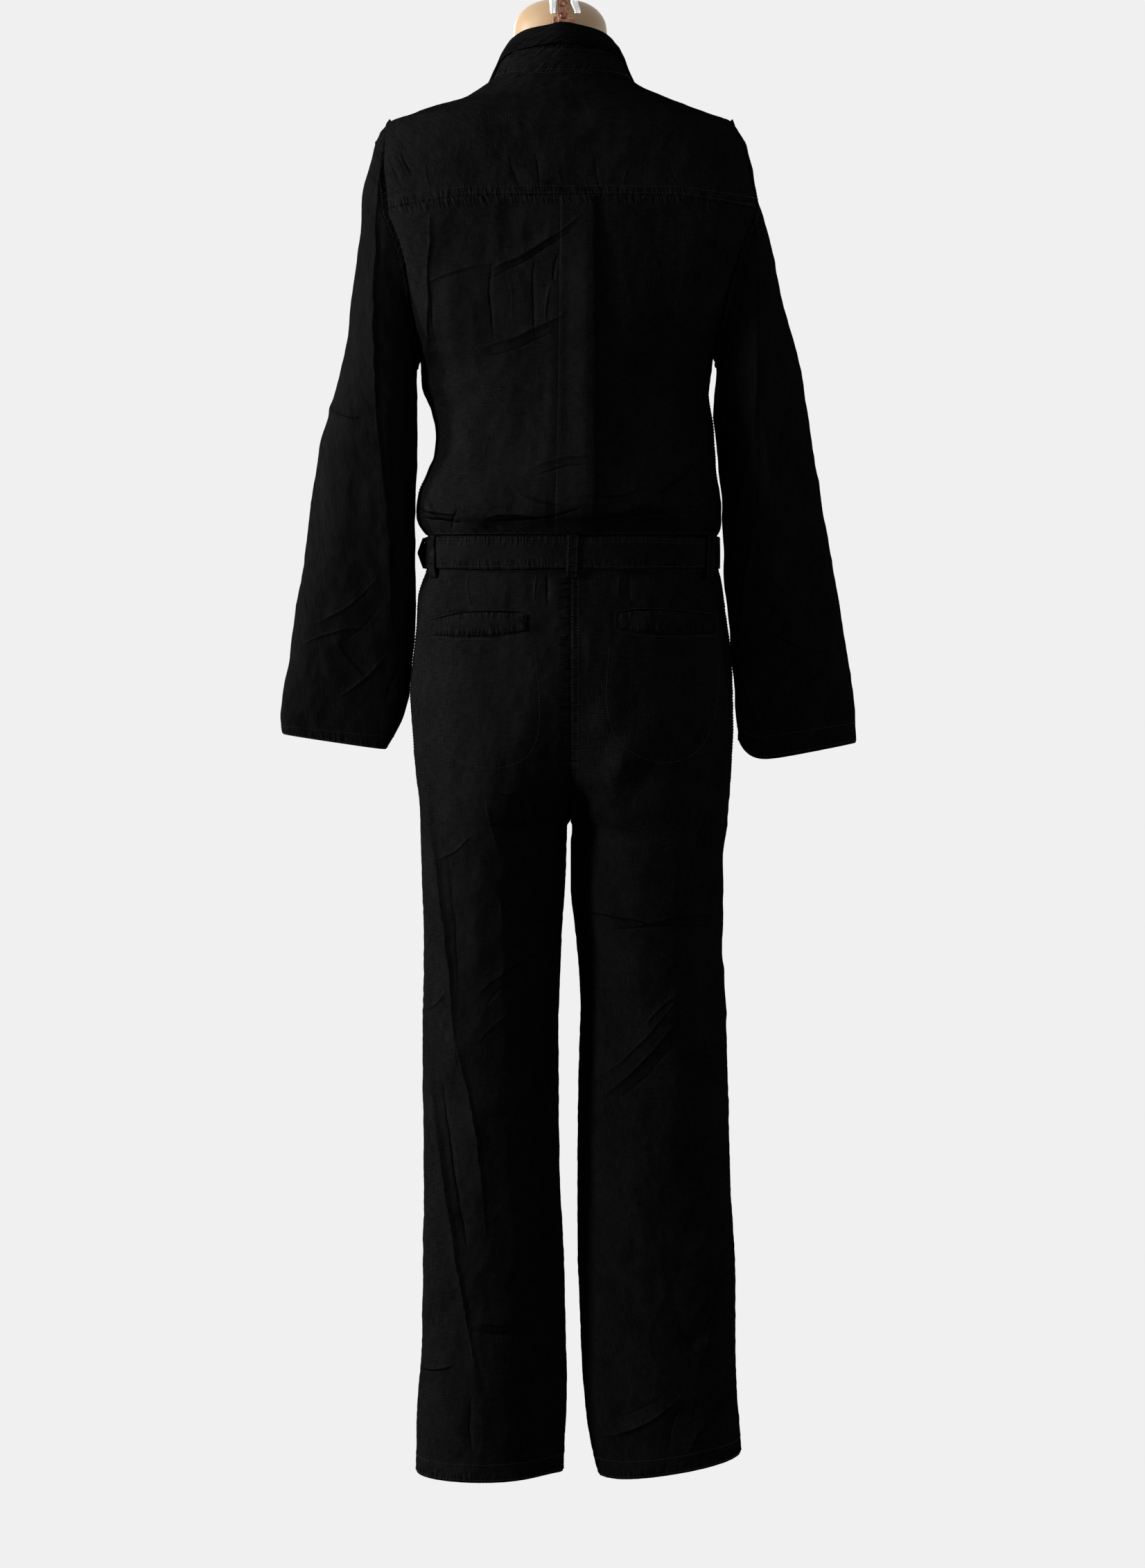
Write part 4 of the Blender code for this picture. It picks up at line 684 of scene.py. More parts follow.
def draped(grid, core, creases=(), closed=False, seed=0.0, lumps=(46, 46, 150), relief=1.5, seams="tbsS",
           centre=None):
    """A panel's cloth: creases, slack and puckers over a plain grid. seams: top, bottom, start and end.

    centre is "s" or "S" where that side meets its twin at the middle plane, so the cloth stays on its own side.
    """
    u, v, whole_u, _ = arc_lengths(grid, closed)
    normal = grid_normals(grid, core, closed)
    reach = seam_reach(grid, closed, seams)
    away = reach.min(axis=-1)
    slack = relief * noise_at(grid, lumps, seed) + 0.42 * relief * noise_at(grid, (17, 17, 42), seed + 5)
    crumple = 0.5 - np.abs(noise_at(grid, (30, 30, 52), seed + 7)) * 2
    crumple += 0.4 - np.abs(noise_at(grid, (13, 13, 24), seed + 8))
    slack += 0.6 * relief * crumple
    fine = 0.17 * noise_at(grid, (7, 7, 8), seed + 9)
    push = (crease_push(grid, creases) + slack) * soft(away, 0, SEAM_CALM) + fine
    pucker = noise_at(np.stack([u, v, 0 * u], -1), (6.5, 6.5, 9), seed + 3)
    push += 0.55 * pucker * np.exp(-(((away - 5) / 6) ** 2))
    push -= 0.8 * np.exp(-((away / 1.3) ** 2))
    moved = grid + normal * push[..., None]
    if centre:
        near = u if centre == "s" else whole_u - u
        free = np.maximum(soft(near, 0, 12), np.abs(grid[:, [-1]])[..., 0] > 1.0)
        moved[..., 0] = grid[..., 0] + (moved - grid)[..., 0] * free
    return SimpleNamespace(grid=moved, normal=grid_normals(moved, core, closed), u=u, v=v, whole_u=whole_u,
                           reach=reach, folds=fold_layers(grid, creases))


def lapped(panel, sides):
    """Adds a narrow lap under the next panel: t and b are the upper and lower edge, s and S the two side edges.

    c is the last side edge too, where the two trouser legs are joined at the middle plane.
    """
    layers = {"grid": panel.grid, "normal": panel.normal, "reach": panel.reach, "folds": panel.folds,
              "u": panel.u, "v": np.broadcast_to(panel.v, panel.grid.shape[:2])}
    edges = (("t", 0, 0, 3), ("b", 0, -1, -4), ("s", 1, 0, 3), ("S", 1, -1, -4), ("c", 1, -1, -4))
    for letter, axis, edge, inner in edges:
        if letter in sides:
            added = {key: np.take(layer, [edge], axis) for key, layer in layers.items()}
            last = added["grid"]
            ahead = unit(last - np.take(layers["grid"], [inner], axis))
            under = ahead * LAP - added["normal"] * LAP_UNDER
            if letter == "c":
                across = np.sign(last) * CENTRE_LAP
                under = np.where(np.abs(last[..., :1]) < 1.0, across, under)
            added["grid"] = last + under
            way = "u" if axis else "v"
            added[way] = added[way] + (LAP if edge else -LAP)
            order = (added, layers) if edge == 0 else (layers, added)
            layers = {key: np.concatenate([part[key] for part in order], axis) for key in layers}
    whole_u = np.concatenate([panel.whole_u[:1], panel.whole_u]) if "t" in sides else panel.whole_u
    return SimpleNamespace(whole_u=whole_u, **layers)


def add_mesh(name, points, faces, uv, finish, replaces=(), sharp=50):
    """A mesh on the garment's body. uv is one pair in cm for each corner of each face, or None."""
    mesh = bpy.data.meshes.new(name)
    mesh.from_pydata(((points - HANG_X * X) * MM).tolist(), [], [list(map(int, face)) for face in faces])
    if uv is not None:
        mesh.uv_layers.new(name="cloth").data.foreach_set("uv", np.asarray(uv, float).ravel())
    mesh.materials.append(MATERIALS[finish])
    mesh.shade_smooth()
    if sharp:
        mesh.set_sharp_from_angle(angle=math.radians(sharp))
    piece = bpy.data.objects.new(name, mesh)
    bpy.context.scene.collection.objects.link(piece)
    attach(piece, "root")
    if replaces:
        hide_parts(*replaces)
    return piece


def wall_faces(rows, columns, closed):
    """Faces of a wall: the seen side's points, then every HIDDEN_STEP of them for the hidden side."""
    def every(count, ring):
        picked = np.arange(0, count, HIDDEN_STEP)
        return picked if ring else np.unique(np.append(picked, count - 1))

    down, across = every(rows, False), every(columns, closed)
    origin = (down[:, None] * columns + across).reshape(-1)
    hidden = {int(place): rows * columns + n for n, place in enumerate(origin)}
    i, j = np.meshgrid(np.arange(rows - 1), np.arange(columns if closed else columns - 1), indexing="ij")
    k = (j + 1) % columns
    faces = np.stack([i * columns + j, i * columns + k, (i + 1) * columns + k, (i + 1) * columns + j], -1)
    faces = faces.reshape(-1, 4).tolist()
    span = len(across)
    for a in range(len(down) - 1):
        for b in range(span if closed else span - 1):
            corners = [(a, b), (a + 1, b), (a + 1, (b + 1) % span), (a, (b + 1) % span)]
            faces.append([rows * columns + m * span + n for m, n in corners])
    ring = list(range(columns)) + ([0] if closed else [])
    low = (rows - 1) * columns
    sides = [ring, [low + n for n in ring[::-1]]]
    if not closed:
        column = [n * columns for n in range(rows)]
        sides += [[n + columns - 1 for n in column], column[::-1]]
    for side in sides:
        stops = [n for n, place in enumerate(side) if place in hidden]
        for a, b in zip(stops, stops[1:]):
            faces.append(side[a : b + 1][::-1] + [hidden[side[a]], hidden[side[b]]])
    return faces, origin


def add_shell(name, visible, thick=CLOTH, closed=False, laps=""):
    """A closed cloth wall behind a panel's points."""
    panel = lapped(visible, laps) if laps else visible
    grid = panel.grid
    rows, columns = grid.shape[:2]
    faces, origin = wall_faces(rows, columns, closed)
    seen, outward = grid.reshape(-1, 3), panel.normal.reshape(-1, 3)
    points = np.concatenate([seen, seen[origin] - outward[origin] * thick])
    middle = rows // 2 * (columns if closed else columns - 1) + columns // 2
    a, b, d = (points[faces[middle][n]] for n in (0, 1, 3))
    if np.cross(b - a, d - a) @ outward[faces[middle][0]] < 0:
        faces = [face[::-1] for face in faces]
    source = np.concatenate([np.arange(rows * columns), origin])
    corner = source[np.concatenate([np.array(face) for face in faces])]
    v = np.broadcast_to(panel.v, (rows, columns))
    uv = np.column_stack([panel.u.reshape(-1)[corner], v.reshape(-1)[corner]])
    if closed:
        sizes = np.array([len(face) for face in faces])
        starts = np.concatenate([[0], np.cumsum(sizes)[:-1]])
        widest = np.repeat(np.maximum.reduceat(corner % columns, starts), sizes)
        wraps = (corner % columns == 0) & (widest > columns / 2)
        uv[wraps, 0] = panel.whole_u.reshape(-1)[corner[wraps] // columns]
    uv[:, 0] += CUT_APART * len(PANELS)
    piece = add_mesh(name, points, faces, uv / 10, "twill", [name])
    reach = panel.reach if hasattr(panel, "reach") else seam_reach(grid)
    stored = {"seam_reach": np.concatenate([reach, reach[..., :1]], axis=-1)}
    folds = getattr(panel, "folds", np.full((rows, columns, FOLD_LAYERS, 2), (FAR, 0.0)))
    for layer in range(FOLD_LAYERS):
        stored[f"fold{layer}"] = np.concatenate([folds[:, :, layer], folds[:, :, layer, :1]], axis=-1)
    for label, values in stored.items():
        kept = piece.data.attributes.new(label, "FLOAT_VECTOR", "POINT")
        kept.data.foreach_set("vector", values.reshape(-1, 3)[source].astype(np.float32).reshape(-1))
    PANELS[name] = visible


def half_section(height, back, side, lines, count=240):
    """Half of a horizontal section of the bodice or the form, from the centre line to its edge."""
    s = lines.at(height)
    depth, edge = (s.back, s.back_edge) if back else (s.front, s.front_edge)
    turn = np.linspace(0, math.pi / 2, count)
    x = s.sway + side * s.half * np.sin(turn) ** (2 / SQUARE)
    y = edge + (depth - edge) * np.cos(turn) ** (2 / SQUARE)
    return np.column_stack([x, y, np.full(count, float(height))])


def whole_back(height, lines):
    """The back of a section, from the wearer's left edge to the right edge."""
    left = half_section(height, True, 1, lines)
    right = half_section(height, True, -1, lines)
    return np.concatenate([left[::-1], right[1:]])


def axis_core(heights, x=0.0, up=0.0):
    """One point inside the garment for each row of a grid."""
    return np.array([[(x, 0, height + up)] for height in heights], float)


def heights_between(top, end, pitch=PITCH):
    return top - spaced(top - end, pitch)


def dipped(grid):
    """Bends the yoke seam down towards the armholes."""
    near = np.exp(-np.abs(grid[..., 2] - YOKE_SEAM) / 55)
    grid[..., 2] -= YOKE_DIP * near * soft(np.abs(grid[..., 0]), 95, 190)
    return grid


def add_yoke():
    heights = heights_between(NECK_SIDE, YOKE_SEAM + 0.15)
    shares = spaced(450) / 450
    grid = dipped(np.array([evenly(whole_back(height, BODICE), shares) for height in heights]))
    core = axis_core(heights, up=-60)
    add_shell("yoke", draped(grid, core, YOKE_CREASES, seed=11, lumps=(60, 60, 60), relief=1.3), laps="bsS")


def pleat_side(half, lift, rise):
    """One edge of the box pleat, from the panel in to the middle; rise is how high the panel stands beside it."""
    crown = lift + 2 * PLEAT_CLOTH + 0.25
    tuck = half - PLEAT_UNDER
    bend = (lift + crown) / 2
    face = [(half + 6, rise), (half + 1.2 - 0.2 * rise, rise), (tuck, 0), (tuck, lift), (half - 1.2, lift),
            (half - 0.1, lift + 0.4), (half + 0.3, bend),
            (half - 0.1, crown - 0.4), (half - 1.4, crown), (half * 0.5, crown + 0.15)]
    return np.array(face)


def back_row(height, shares):
    """A section of the back panel with its box pleat."""
    line = whole_back(height, BODICE)
    down = (YOKE_SEAM - height) / (YOKE_SEAM - BODICE_END)
    middle = PLEAT_TOP_X + (PLEAT_END_X - PLEAT_TOP_X) * down
    half = PLEAT_TOP_HALF + (PLEAT_END_HALF - PLEAT_TOP_HALF) * down
    open_up = math.sin(math.pi * min(1, max(0, down))) ** 0.7
    runs = []
    for side, lift, rise in ((1, 0.35 + 1.0 * open_up, 3.3 * open_up), (-1, 0.35 + 6.0 * open_up, 0.0)):
        face = pleat_side(half, lift, rise)
        plain = line[(line[:, 0] - middle) * side > half + 6.2][::side]
        plain[:, 1] += rise * np.exp(-np.abs(plain[:, 0] - middle - side * half - side * 6) / 14)
        across = middle + side * face[:, 0]
        deep = np.interp(-across, -line[:, 0], line[:, 1]) + face[:, 1]
        box = np.column_stack([across, deep, np.full(len(face), height)])
        corners = np.concatenate([evenly(box[n : n + 2], np.linspace(0, 1, 4)[:-1]) for n in range(len(box) - 1)])
        runs.append(np.concatenate([evenly(plain, shares)[:-1], corners, box[-1:]]))
    left, right = runs
    centre = evenly(np.array([left[-1], right[-1]]), np.linspace(0, 1, 5)[1:-1])
    return np.concatenate([left, centre, right[::-1]])


# How far the pleat's fullness lifts the back: places across, to the wearer's right, and the lift there
PLEAT_RELIEF = (
    (-110, 0), (-80, 0.6), (-40, 2.6), (-10, 4.6), (10, 5.8), (22, 6.2), (34, 5.4), (60, 2.6), (84, 0.4), (108, -0.8),
    (135, -0.6), (160, 0),
)


def add_back_panel():
    heights = heights_between(YOKE_SEAM - 0.15, BODICE_END)
    shares = spaced(200)[:-4] / spaced(200)[-5]
    grid = dipped(np.array([back_row(height, shares) for height in heights]))
    across = np.interp(-grid[..., 0], *np.array(PLEAT_RELIEF).T)
    down = soft(-heights, 242, 330) * (1 - 0.75 * soft(-heights, 520, 572))
    grid[..., 1] += across * down[:, None]
    eased = grid[..., 1].copy()
    for _ in range(UNDERARM_EASE):
        eased[1:-1] = (eased[:-2] + 2 * eased[1:-1] + eased[2:]) / 4
    grid[..., 1] += (eased - grid[..., 1]) * (1 - 0.7 * soft(-heights, 500, 535))[:, None]
    core = axis_core(heights)
    box = slice(len(shares) - 1, grid.shape[1] - len(shares) + 1)
    panel = draped(grid, core, BACK_CREASES, seed=23, lumps=(38, 38, 120), relief=1.6, seams="tbsS")
    push = np.sum((panel.grid - grid) * unit(grid - core), axis=-1)
    row_push = (push[:, box.start - 1] + push[:, box.stop]) / 2
    gentle = soft(np.arange(len(heights)), 0, 8)[:, None] * noise_at(grid[:, box], (30, 30, 90), 41) * 0.5
    panel.grid[:, box] = grid[:, box] + Y * (row_push[:, None] * 0.6 + gentle)[..., None]
    panel.normal = grid_normals(panel.grid, core)
    add_shell("back_panel", panel, thick=0.7, laps="sS")


def neck_half(height):
    return float(FRONT_NECK.at(height).half) if height > NECK_FRONT else 0.0


def front_row(height, side, shares):
    line = half_section(height, False, side, BODICE)
    sway = float(BODICE.at(height).sway)
    start = max(neck_half(height), 0.15)
    reach = np.abs(line[:, 0] - sway)
    first = np.array([[sway + side * start, np.interp(start, reach, line[:, 1]), height]])
    return evenly(np.concatenate([first, line[reach > start + 0.01]]), shares)


def add_front(name, side, seed):
    heights = heights_between(NECK_SIDE - 0.3, BODICE_END, FRONT_PITCH)
    shares = spaced(210, FRONT_PITCH) / 210
    grid = np.array([front_row(height, side, shares) for height in heights])
    core = axis_core(heights, x=side * 20, up=-40)
    creases = [(side * x0, z0, side * x1, z1, side * bow, *rest) for x0, z0, x1, z1, bow, *rest in FRONT_CREASES]
    add_shell(name, draped(grid, core, creases, seed=seed, lumps=(42, 42, 110), relief=1.7, seams="tbS"), laps="S")


def armhole(side, turn):
    """The armhole, from the shoulder tip down its back edge and up its front edge."""
    middle, half = (SHOULDER_TIP + UNDERARM) / 2, (SHOULDER_TIP - UNDERARM) / 2
    height = middle + half * np.cos(turn)
    s = BODICE.at(height)
    y = np.where(np.sin(turn) > 0, s.back_edge, s.front_edge) * (np.abs(np.sin(turn)) > 1e-6)
    y = np.where(turn < 1e-6, s.back_edge, y)
    return np.column_stack([s.sway + side * s.half, y, height])


def add_sleeve(name, side, table, creases, seed):
    turn = np.linspace(0, 2 * math.pi, 168, endpoint=False)
    loop = armhole(side, turn) + side * 0.45 * X
    cos, sin = np.cos(turn), np.sin(turn)
    last = table.along[-1]
    dense = np.linspace(0, last, 600)
    edge = table.at(dense)
    length = np.concatenate([[0], np.cumsum(np.hypot(np.diff(edge.outer_x), np.diff(edge.outer_z)))])
    rings = []
    for ring in np.interp(spaced(length[-1], SLEEVE_PITCH), length, dense):
        r = table.at(ring)
        outer = np.array([side * r.outer_x, 0, r.outer_z])
        inner = np.array([side * r.inner_x, 0, r.inner_z])
        power = 2 / (r.square + SLEEVE_FLAT * (sin > 0) * (side > 0))
        swing = np.sign(cos) * np.abs(cos) ** power
        depth = np.where(sin > 0, r.back, -r.front) * np.sign(sin) * np.abs(sin) ** power
        forward = SLEEVE_FORWARD * (ring / last) ** 1.5
        free = (outer + inner) / 2 + swing[:, None] * (outer - inner) / 2 + (depth - forward)[:, None] * Y
        lean = (1 + cos[:, None]) / 2
        sag = r.droop * (1 - lean) * (1 - (1 - lean) ** 10)
        free = free - sag * Z
        moved = loop + lean * (outer - loop[0]) * [1, 0, 1] + (1 - lean) * (inner - loop[len(turn) // 2]) * [1, 0, 1]
        rings.append(moved + (free - moved) * r.leave)
    grid = np.array(rings)
    core = grid.mean(axis=1, keepdims=True)
    panel = draped(grid, core, creases, True, seed, lumps=(36, 36, 130), relief=1.7, seams="tb")
    add_shell(name, panel, thick=HEM_CLOTH * 0.7, closed=True, laps="t")


def leg_line(table, height, side, back):
    """Half of a trouser section, from the outseam to the centre seam, or to the inseam below the fork."""
    s = table.at(height)
    half = s.outer - s.middle
    depth = s.back if back else s.front
    reach = min(1.0, (max(s.middle, 0) / half) ** LEG_SQUARE)
    end = math.pi - math.acos(math.sqrt(reach))
    turn = np.linspace(0, end, 260)
    power = 2 / LEG_SQUARE
    cos = np.cos(turn)
    x = s.middle + half * np.sign(cos) * np.abs(cos) ** power
    y = depth * np.abs(np.sin(turn)) ** power
    return np.column_stack([side * np.maximum(x, 0.15), y, np.full(len(x), float(height))])


def add_trouser_panel(name, side, back, table, hem, creases, slant, seed):
    pitch = LEG_PITCH if back else FRONT_PITCH
    heights = heights_between(BODICE_END + 1.2, hem, pitch)
    if back:
        heights = np.concatenate([heights[(heights > WELT_ROWS[0]) | (heights < WELT_ROWS[1])],
                                  np.arange(*WELT_ROWS, -WELT_PITCH)])
        heights = np.sort(heights)[::-1]
    shares = spaced(250, pitch) / 250
    rows = []
    for height in heights:
        s = table.at(height)
        line = evenly(leg_line(table, height, side, back), shares)
        low = max(0.0, (SLANT_START - height) / (SLANT_START - hem))
        line[:, 2] += slant * low * (np.abs(line[:, 0]) - s.middle) / (2 * (s.outer - s.middle))
        rows.append(line)
    grid = np.array(rows)
    if back:
        beside = grid[..., 0] - VALLEY_X
        wide = np.where(beside > 0, 24 + 26 * soft(-heights, 700, 850)[:, None], 24)
        valley = np.exp(-((beside / wide) ** 2)) * soft(grid[..., 1], 0, 45)
        sunk = SEAT_VALLEY * soft(-heights, 690, 800) + FORK_VALLEY * soft(-heights, 826, 850)
        grid[..., 1] -= valley * sunk[:, None]
    middles = [side * max(40.0, float(table.at(height).middle)) for height in heights]
    core = np.column_stack([middles, np.zeros(len(heights)), heights])[:, None, :]
    panel = draped(grid, core, creases, False, seed, lumps=(40, 40, 170), relief=1.8, seams="tbsS", centre="S")
    if back:
        near_x, far_x, top, _, tops, _ = WELT_LEFT if side > 0 else WELT_RIGHT
        place = (panel.grid[..., 0] - near_x) / (far_x - near_x)
        line = through(np.column_stack([tops, tops, tops]), 50)[:, 0]
        off = panel.grid[..., 2] - top - SLIT_HALF - np.interp(place, np.linspace(0, 1, 50), line)
        deep = SLIT_DEEP * np.exp(-((off / SLIT_HALF) ** 2)) * soft(place, -0.01, 0.04) * soft(-place, -1.01, -0.96)
        panel.grid = panel.grid - panel.normal * deep[..., None]
        panel.normal = grid_normals(panel.grid, core)
    add_shell(name, panel, thick=HEM_CLOTH * 0.7, laps=("s" if back else "") + ("c" if side > 0 else ""))


def neck_line():
    """The neck seam from the wearer's left front around the back to the right front."""
    left, right = [], []
    for height in np.linspace(NECK_FRONT, NECK_SIDE - 0.5, 80):
        for side, line in ((1, left), (-1, right)):
            row = half_section(height, False, side, BODICE)
            sway = float(BODICE.at(height).sway)
            half = neck_half(height)
            y = np.interp(half, np.abs(row[:, 0] - sway), row[:, 1])
            line.append((sway + side * half, y, height))
    return np.concatenate([left, whole_back(NECK_SIDE, BODICE), right[::-1]])


def add_collar():
    shares = np.linspace(0.012, 0.988, 170)
    seam = evenly(neck_line(), shares)
    c = COLLAR.at(np.abs(shares * 2 - 1))
    tangent = unit(np.gradient(seam, axis=0) * [1, 1, 0])
    out = np.cross(tangent, Z)
    out *= np.where(np.sum(out * (seam - [9, 0, 0]), axis=1, keepdims=True) < 0, -1, 1)

    def step(outward, up):
        return seam + out * np.reshape(outward, (-1, 1)) + Z * np.reshape(up, (-1, 1))

    zero = np.zeros(len(seam))
    back = tangent * (np.sign(0.5 - shares) * c.edge_back)[:, None]
    stand_top = step(c.stand_out, c.stand_up)
    foot = step(zero + 0.6, zero - 2.0)
    stand = through([foot, (foot + stand_top) / 2 + out * 0.8, stand_top], 16)
    middle = np.array([9.0, 0, -100])
    panel = draped(stand, middle, seed=61, lumps=(26, 26, 16), relief=0.7, seams="tb")
    add_shell("collar_stand", panel)

    base_out, base_up = c.stand_out - 1.5, c.stand_up - 1.6
    roll = 1.8
    under, over = c.roll_out, c.roll_out + 2 * roll
    fall = [
        step(base_out, base_up),
        step((base_out + under) / 2, (base_up + c.roll_up) / 2),
        step(under, c.roll_up - roll),
        step(under + roll, c.roll_up),
        step(over, c.roll_up - roll),
        step(over * 0.65 + c.edge_out * 0.35 + 1.6, (c.roll_up - roll) * 0.65 + c.edge_up * 0.35) + back * 0.35,
        step(over * 0.3 + c.edge_out * 0.7 + 1.2, (c.roll_up - roll) * 0.3 + c.edge_up * 0.7) + back * 0.7,
        step(c.edge_out, c.edge_up) + back,
    ]
    grid = through(fall, 46)
    u, v, whole_u, whole_v = arc_lengths(grid)
    normal = unit(np.cross(np.gradient(grid, axis=1), np.gradient(grid, axis=0)))
    wave = 1.1 * noise_at(np.stack([u, v, 0 * u], -1), (24, 18, 9), 71) * soft(v, 0, 20)
    wave += 0.5 * noise_at(np.stack([u, v, 0 * u], -1), (6.5, 9, 9), 72) * np.exp(-(((whole_v - v - 4) / 5) ** 2))
    grid = grid + normal * wave[..., None]
    normal = unit(np.cross(np.gradient(grid, axis=1), np.gradient(grid, axis=0)))
    cloth = SimpleNamespace(grid=grid + normal * 0.8, normal=normal, u=u, v=v, whole_u=whole_u)
    add_shell("collar_fall", cloth, thick=1.6)


def waist_loop():
    """The waist from centre front round by the wearer's left side, as a line and how far each point lies along it."""
    front_left = half_section(BODICE_END, False, 1, BODICE)
    front_right = half_section(BODICE_END, False, -1, BODICE)[::-1]
    line = np.concatenate([front_left, whole_back(BODICE_END, BODICE)[1:], front_right[1:]])
    steps = np.linalg.norm(np.diff(line, axis=0), axis=1)
    return line, np.concatenate([[0], np.cumsum(steps)])


def on_waist(distance, offset, height):
    """Points at distances along the waist from centre front, moved out by offset."""
    line, length = waist_loop()
    distance = np.asarray(distance, float) % length[-1]
    reach = 3.0

    def read(where):
        where = where % length[-1]
        return np.column_stack([np.interp(where, length, line[:, i]) for i in range(2)])

    tangent = read(distance + reach) - read(distance - reach)
    out = unit(np.column_stack([-tangent[:, 1], tangent[:, 0]]))
    here = read(distance)
    out *= np.where(np.sum(out * here, axis=1, keepdims=True) < 0, -1, 1)
    flat = here + out * np.reshape(offset, (-1, 1))
    return np.column_stack([flat, np.broadcast_to(height, len(flat))])


def add_belt():
    length = waist_loop()[1][-1]
    lap = 70.0
    tip = length + TONGUE_LENGTH
    distance = np.concatenate([np.linspace(20, tip - TONGUE_POINT, 380), np.linspace(tip - 14, tip, 10)])
    climb = soft(distance, length - lap, length)
    flick = np.clip((distance - (tip - 2 * TONGUE_POINT)) / (2 * TONGUE_POINT), 0, 1)
    offset = BELT_AIR + BELT_THICK + BELT_LAYER * climb + TONGUE_FLICK * flick**2
    tall = np.interp(distance, (tip - TONGUE_POINT, tip), (1, 0.16))
    slack = np.array([noise.noise(Vector((d / 34, 3.1, 0))) for d in distance])
    wobble = [np.array([noise.noise(Vector((d / 44, row, 0))) + 0.3 * noise.noise(Vector((d / 9, row, 3)))
                        for d in distance]) for row in (8.7, 15.3)]
    rows = []
    for share in (1, 0.93, 0.8, 0.68, 0.5, 0.25, 0, -0.3, -0.6, -0.8, -0.93, -1):
        sway = ((1 + share) * wobble[0] + (1 - share) * wobble[1]) / 2
        height = (BELT_TOP + BELT_END) / 2 + share * tall * (BELT_TOP - BELT_END) / 2 + 1.3 * sway
        quilt = 0.45 * (1 - abs(share) ** 3) - 0.25 * math.exp(-(((share - 0.68) / 0.1) ** 2))
        rows.append(on_waist(distance, offset - 0.45 + quilt + 0.5 * slack * share, height))
    add_shell("belt", plain_panel(np.array(rows), np.array([0, 0, -596.0])), thick=1.6)


def add_belt_loops():
    """Narrow straps over the belt, tacked under at both ends."""
    length = waist_loop()[1][-1]
    front = BELT_AIR + BELT_THICK + BELT_LAYER
    back = BELT_AIR + BELT_THICK
    loops = (
        ("belt_loop_back", 0.5, back, 1.1, 0.8),
        ("belt_loop_left", 0.5 - 157 / length, back, 2.3, -0.9),
        ("belt_loop_right", 0.5 + 151 / length, back, 2.3, 0.8),
        ("belt_loop_front_left", 95 / length, front, 1.6, 0.4),
        ("belt_loop_front_right", 1 - 95 / length, back, 1.6, -0.4),
    )
    for name, share, under, foot, tilt in loops:
        across = np.array([-1, -0.92, -0.7, -0.45, 0, 0.45, 0.7, 0.92, 1]) * LOOP_WIDTH / 2
        crown = np.array([-0.5, -0.1, 0.1, -0.15, 0, -0.15, 0.1, -0.1, -0.5])
        ridge = under + 0.8
        path = np.array([(-578.2, ridge - 0.6), (-582, ridge + 0.5), (-592, ridge + 0.2), (-604, ridge + 0.3),
                         (BELT_END - 1.5, ridge + 0.3), (-616.5, foot + 1.4), (-620.5, foot + 0.9), (-621.5, foot)])
        rows = []
        for height, offset in through(np.column_stack([path, path[:, :1]]), 34)[:, :2]:
            lean = tilt * (height + 600) / 20
            swell = 0.35 * math.sin(height / 2.1 + tilt * 9)
            rows.append(on_waist(share * length + across * (1 + 0.03 * math.sin(height / 3)) + lean,
                                 offset + crown + 1.1 + 0.3 * swell, height))
        grid = np.array(rows)
        add_shell(name, plain_panel(grid, grid.mean(axis=(0, 1)) * [0.6, 0.6, 1]), thick=1.1)


def locate(panel, x, z):
    """The point and normal of a panel that lie at x and z as seen from behind or in front."""
    rows = panel.grid[..., 2].mean(axis=1)
    row = np.interp(-z, -rows, np.arange(len(rows)))
    for _ in range(3):
        i = min(int(row), len(rows) - 2)
        a = row - i
        line = panel.grid[i] * (1 - a) + panel.grid[i + 1] * a
        bulge = panel.normal[i] * (1 - a) + panel.normal[i + 1] * a
        order = np.argsort(line[:, 0])
        point = np.array([np.interp(x, line[order, 0], line[order, n]) for n in range(3)])
        row = float(np.clip(row + (point[2] - z) / (rows[i] - rows[i + 1]), 0, len(rows) - 1.001))
    normal = unit(np.array([np.interp(x, line[order, 0], bulge[order, n]) for n in range(3)]))
    return point, normal


def add_patch(name, panel_name, near_x, far_x, top, end, tops, ends, thick=2.4, bulge=1.6):
    """A welt that lies on a panel: tops and ends say how its two long edges rise and fall."""
    panel = PANELS[panel_name]
    places = np.linspace(0, 1, 64)
    up = through(np.column_stack([tops, tops, tops]), len(places))[:, 0]
    down = through(np.column_stack([ends, ends, ends]), len(places))[:, 0]
    rows = []
    for share in (0, 0.05, 0.12, 0.25, 0.4, 0.6, 0.75, 0.88, 0.95, 1):
        line = []
        for place, high, low in zip(places, up, down):
            x = near_x + (far_x - near_x) * place
            z = (top + high) * (1 - share) + (end + low) * share
            point, normal = locate(panel, x, z)
            edge = min(share, 1 - share, place * 6, (1 - place) * 6)
            lift = thick * (1 - math.exp(-edge * 30)) + bulge * math.sin(math.pi * share) * math.sin(math.pi * place)
            ripple = 0.55 * noise.noise(Vector((x / 5.5, z / 16, 4)))
            line.append(point + normal * (0.35 + lift + ripple * (edge > 0.02)))
        rows.append(line)
    grid = np.array(rows)
    add_shell(name, plain_panel(grid, grid.mean(axis=(0, 1)) * [1, 0, 1]), thick=0.5)


def placket_point(x, z):
    """The fronts' surface under a placket."""
    halves = ("front_left", "front_right") if z > BODICE_END else ("trouser_front_left", "trouser_front_right")
    sway = float(BODICE.at(z).sway) if z > BODICE_END else 0.0
    panel = PANELS[halves[0] if x > sway else halves[1]]
    inset = max(abs(x - sway), 1.2) * (1 if x > sway else -1)
    return locate(panel, sway + inset, z)[0] * [0, 1, 1] + x * X


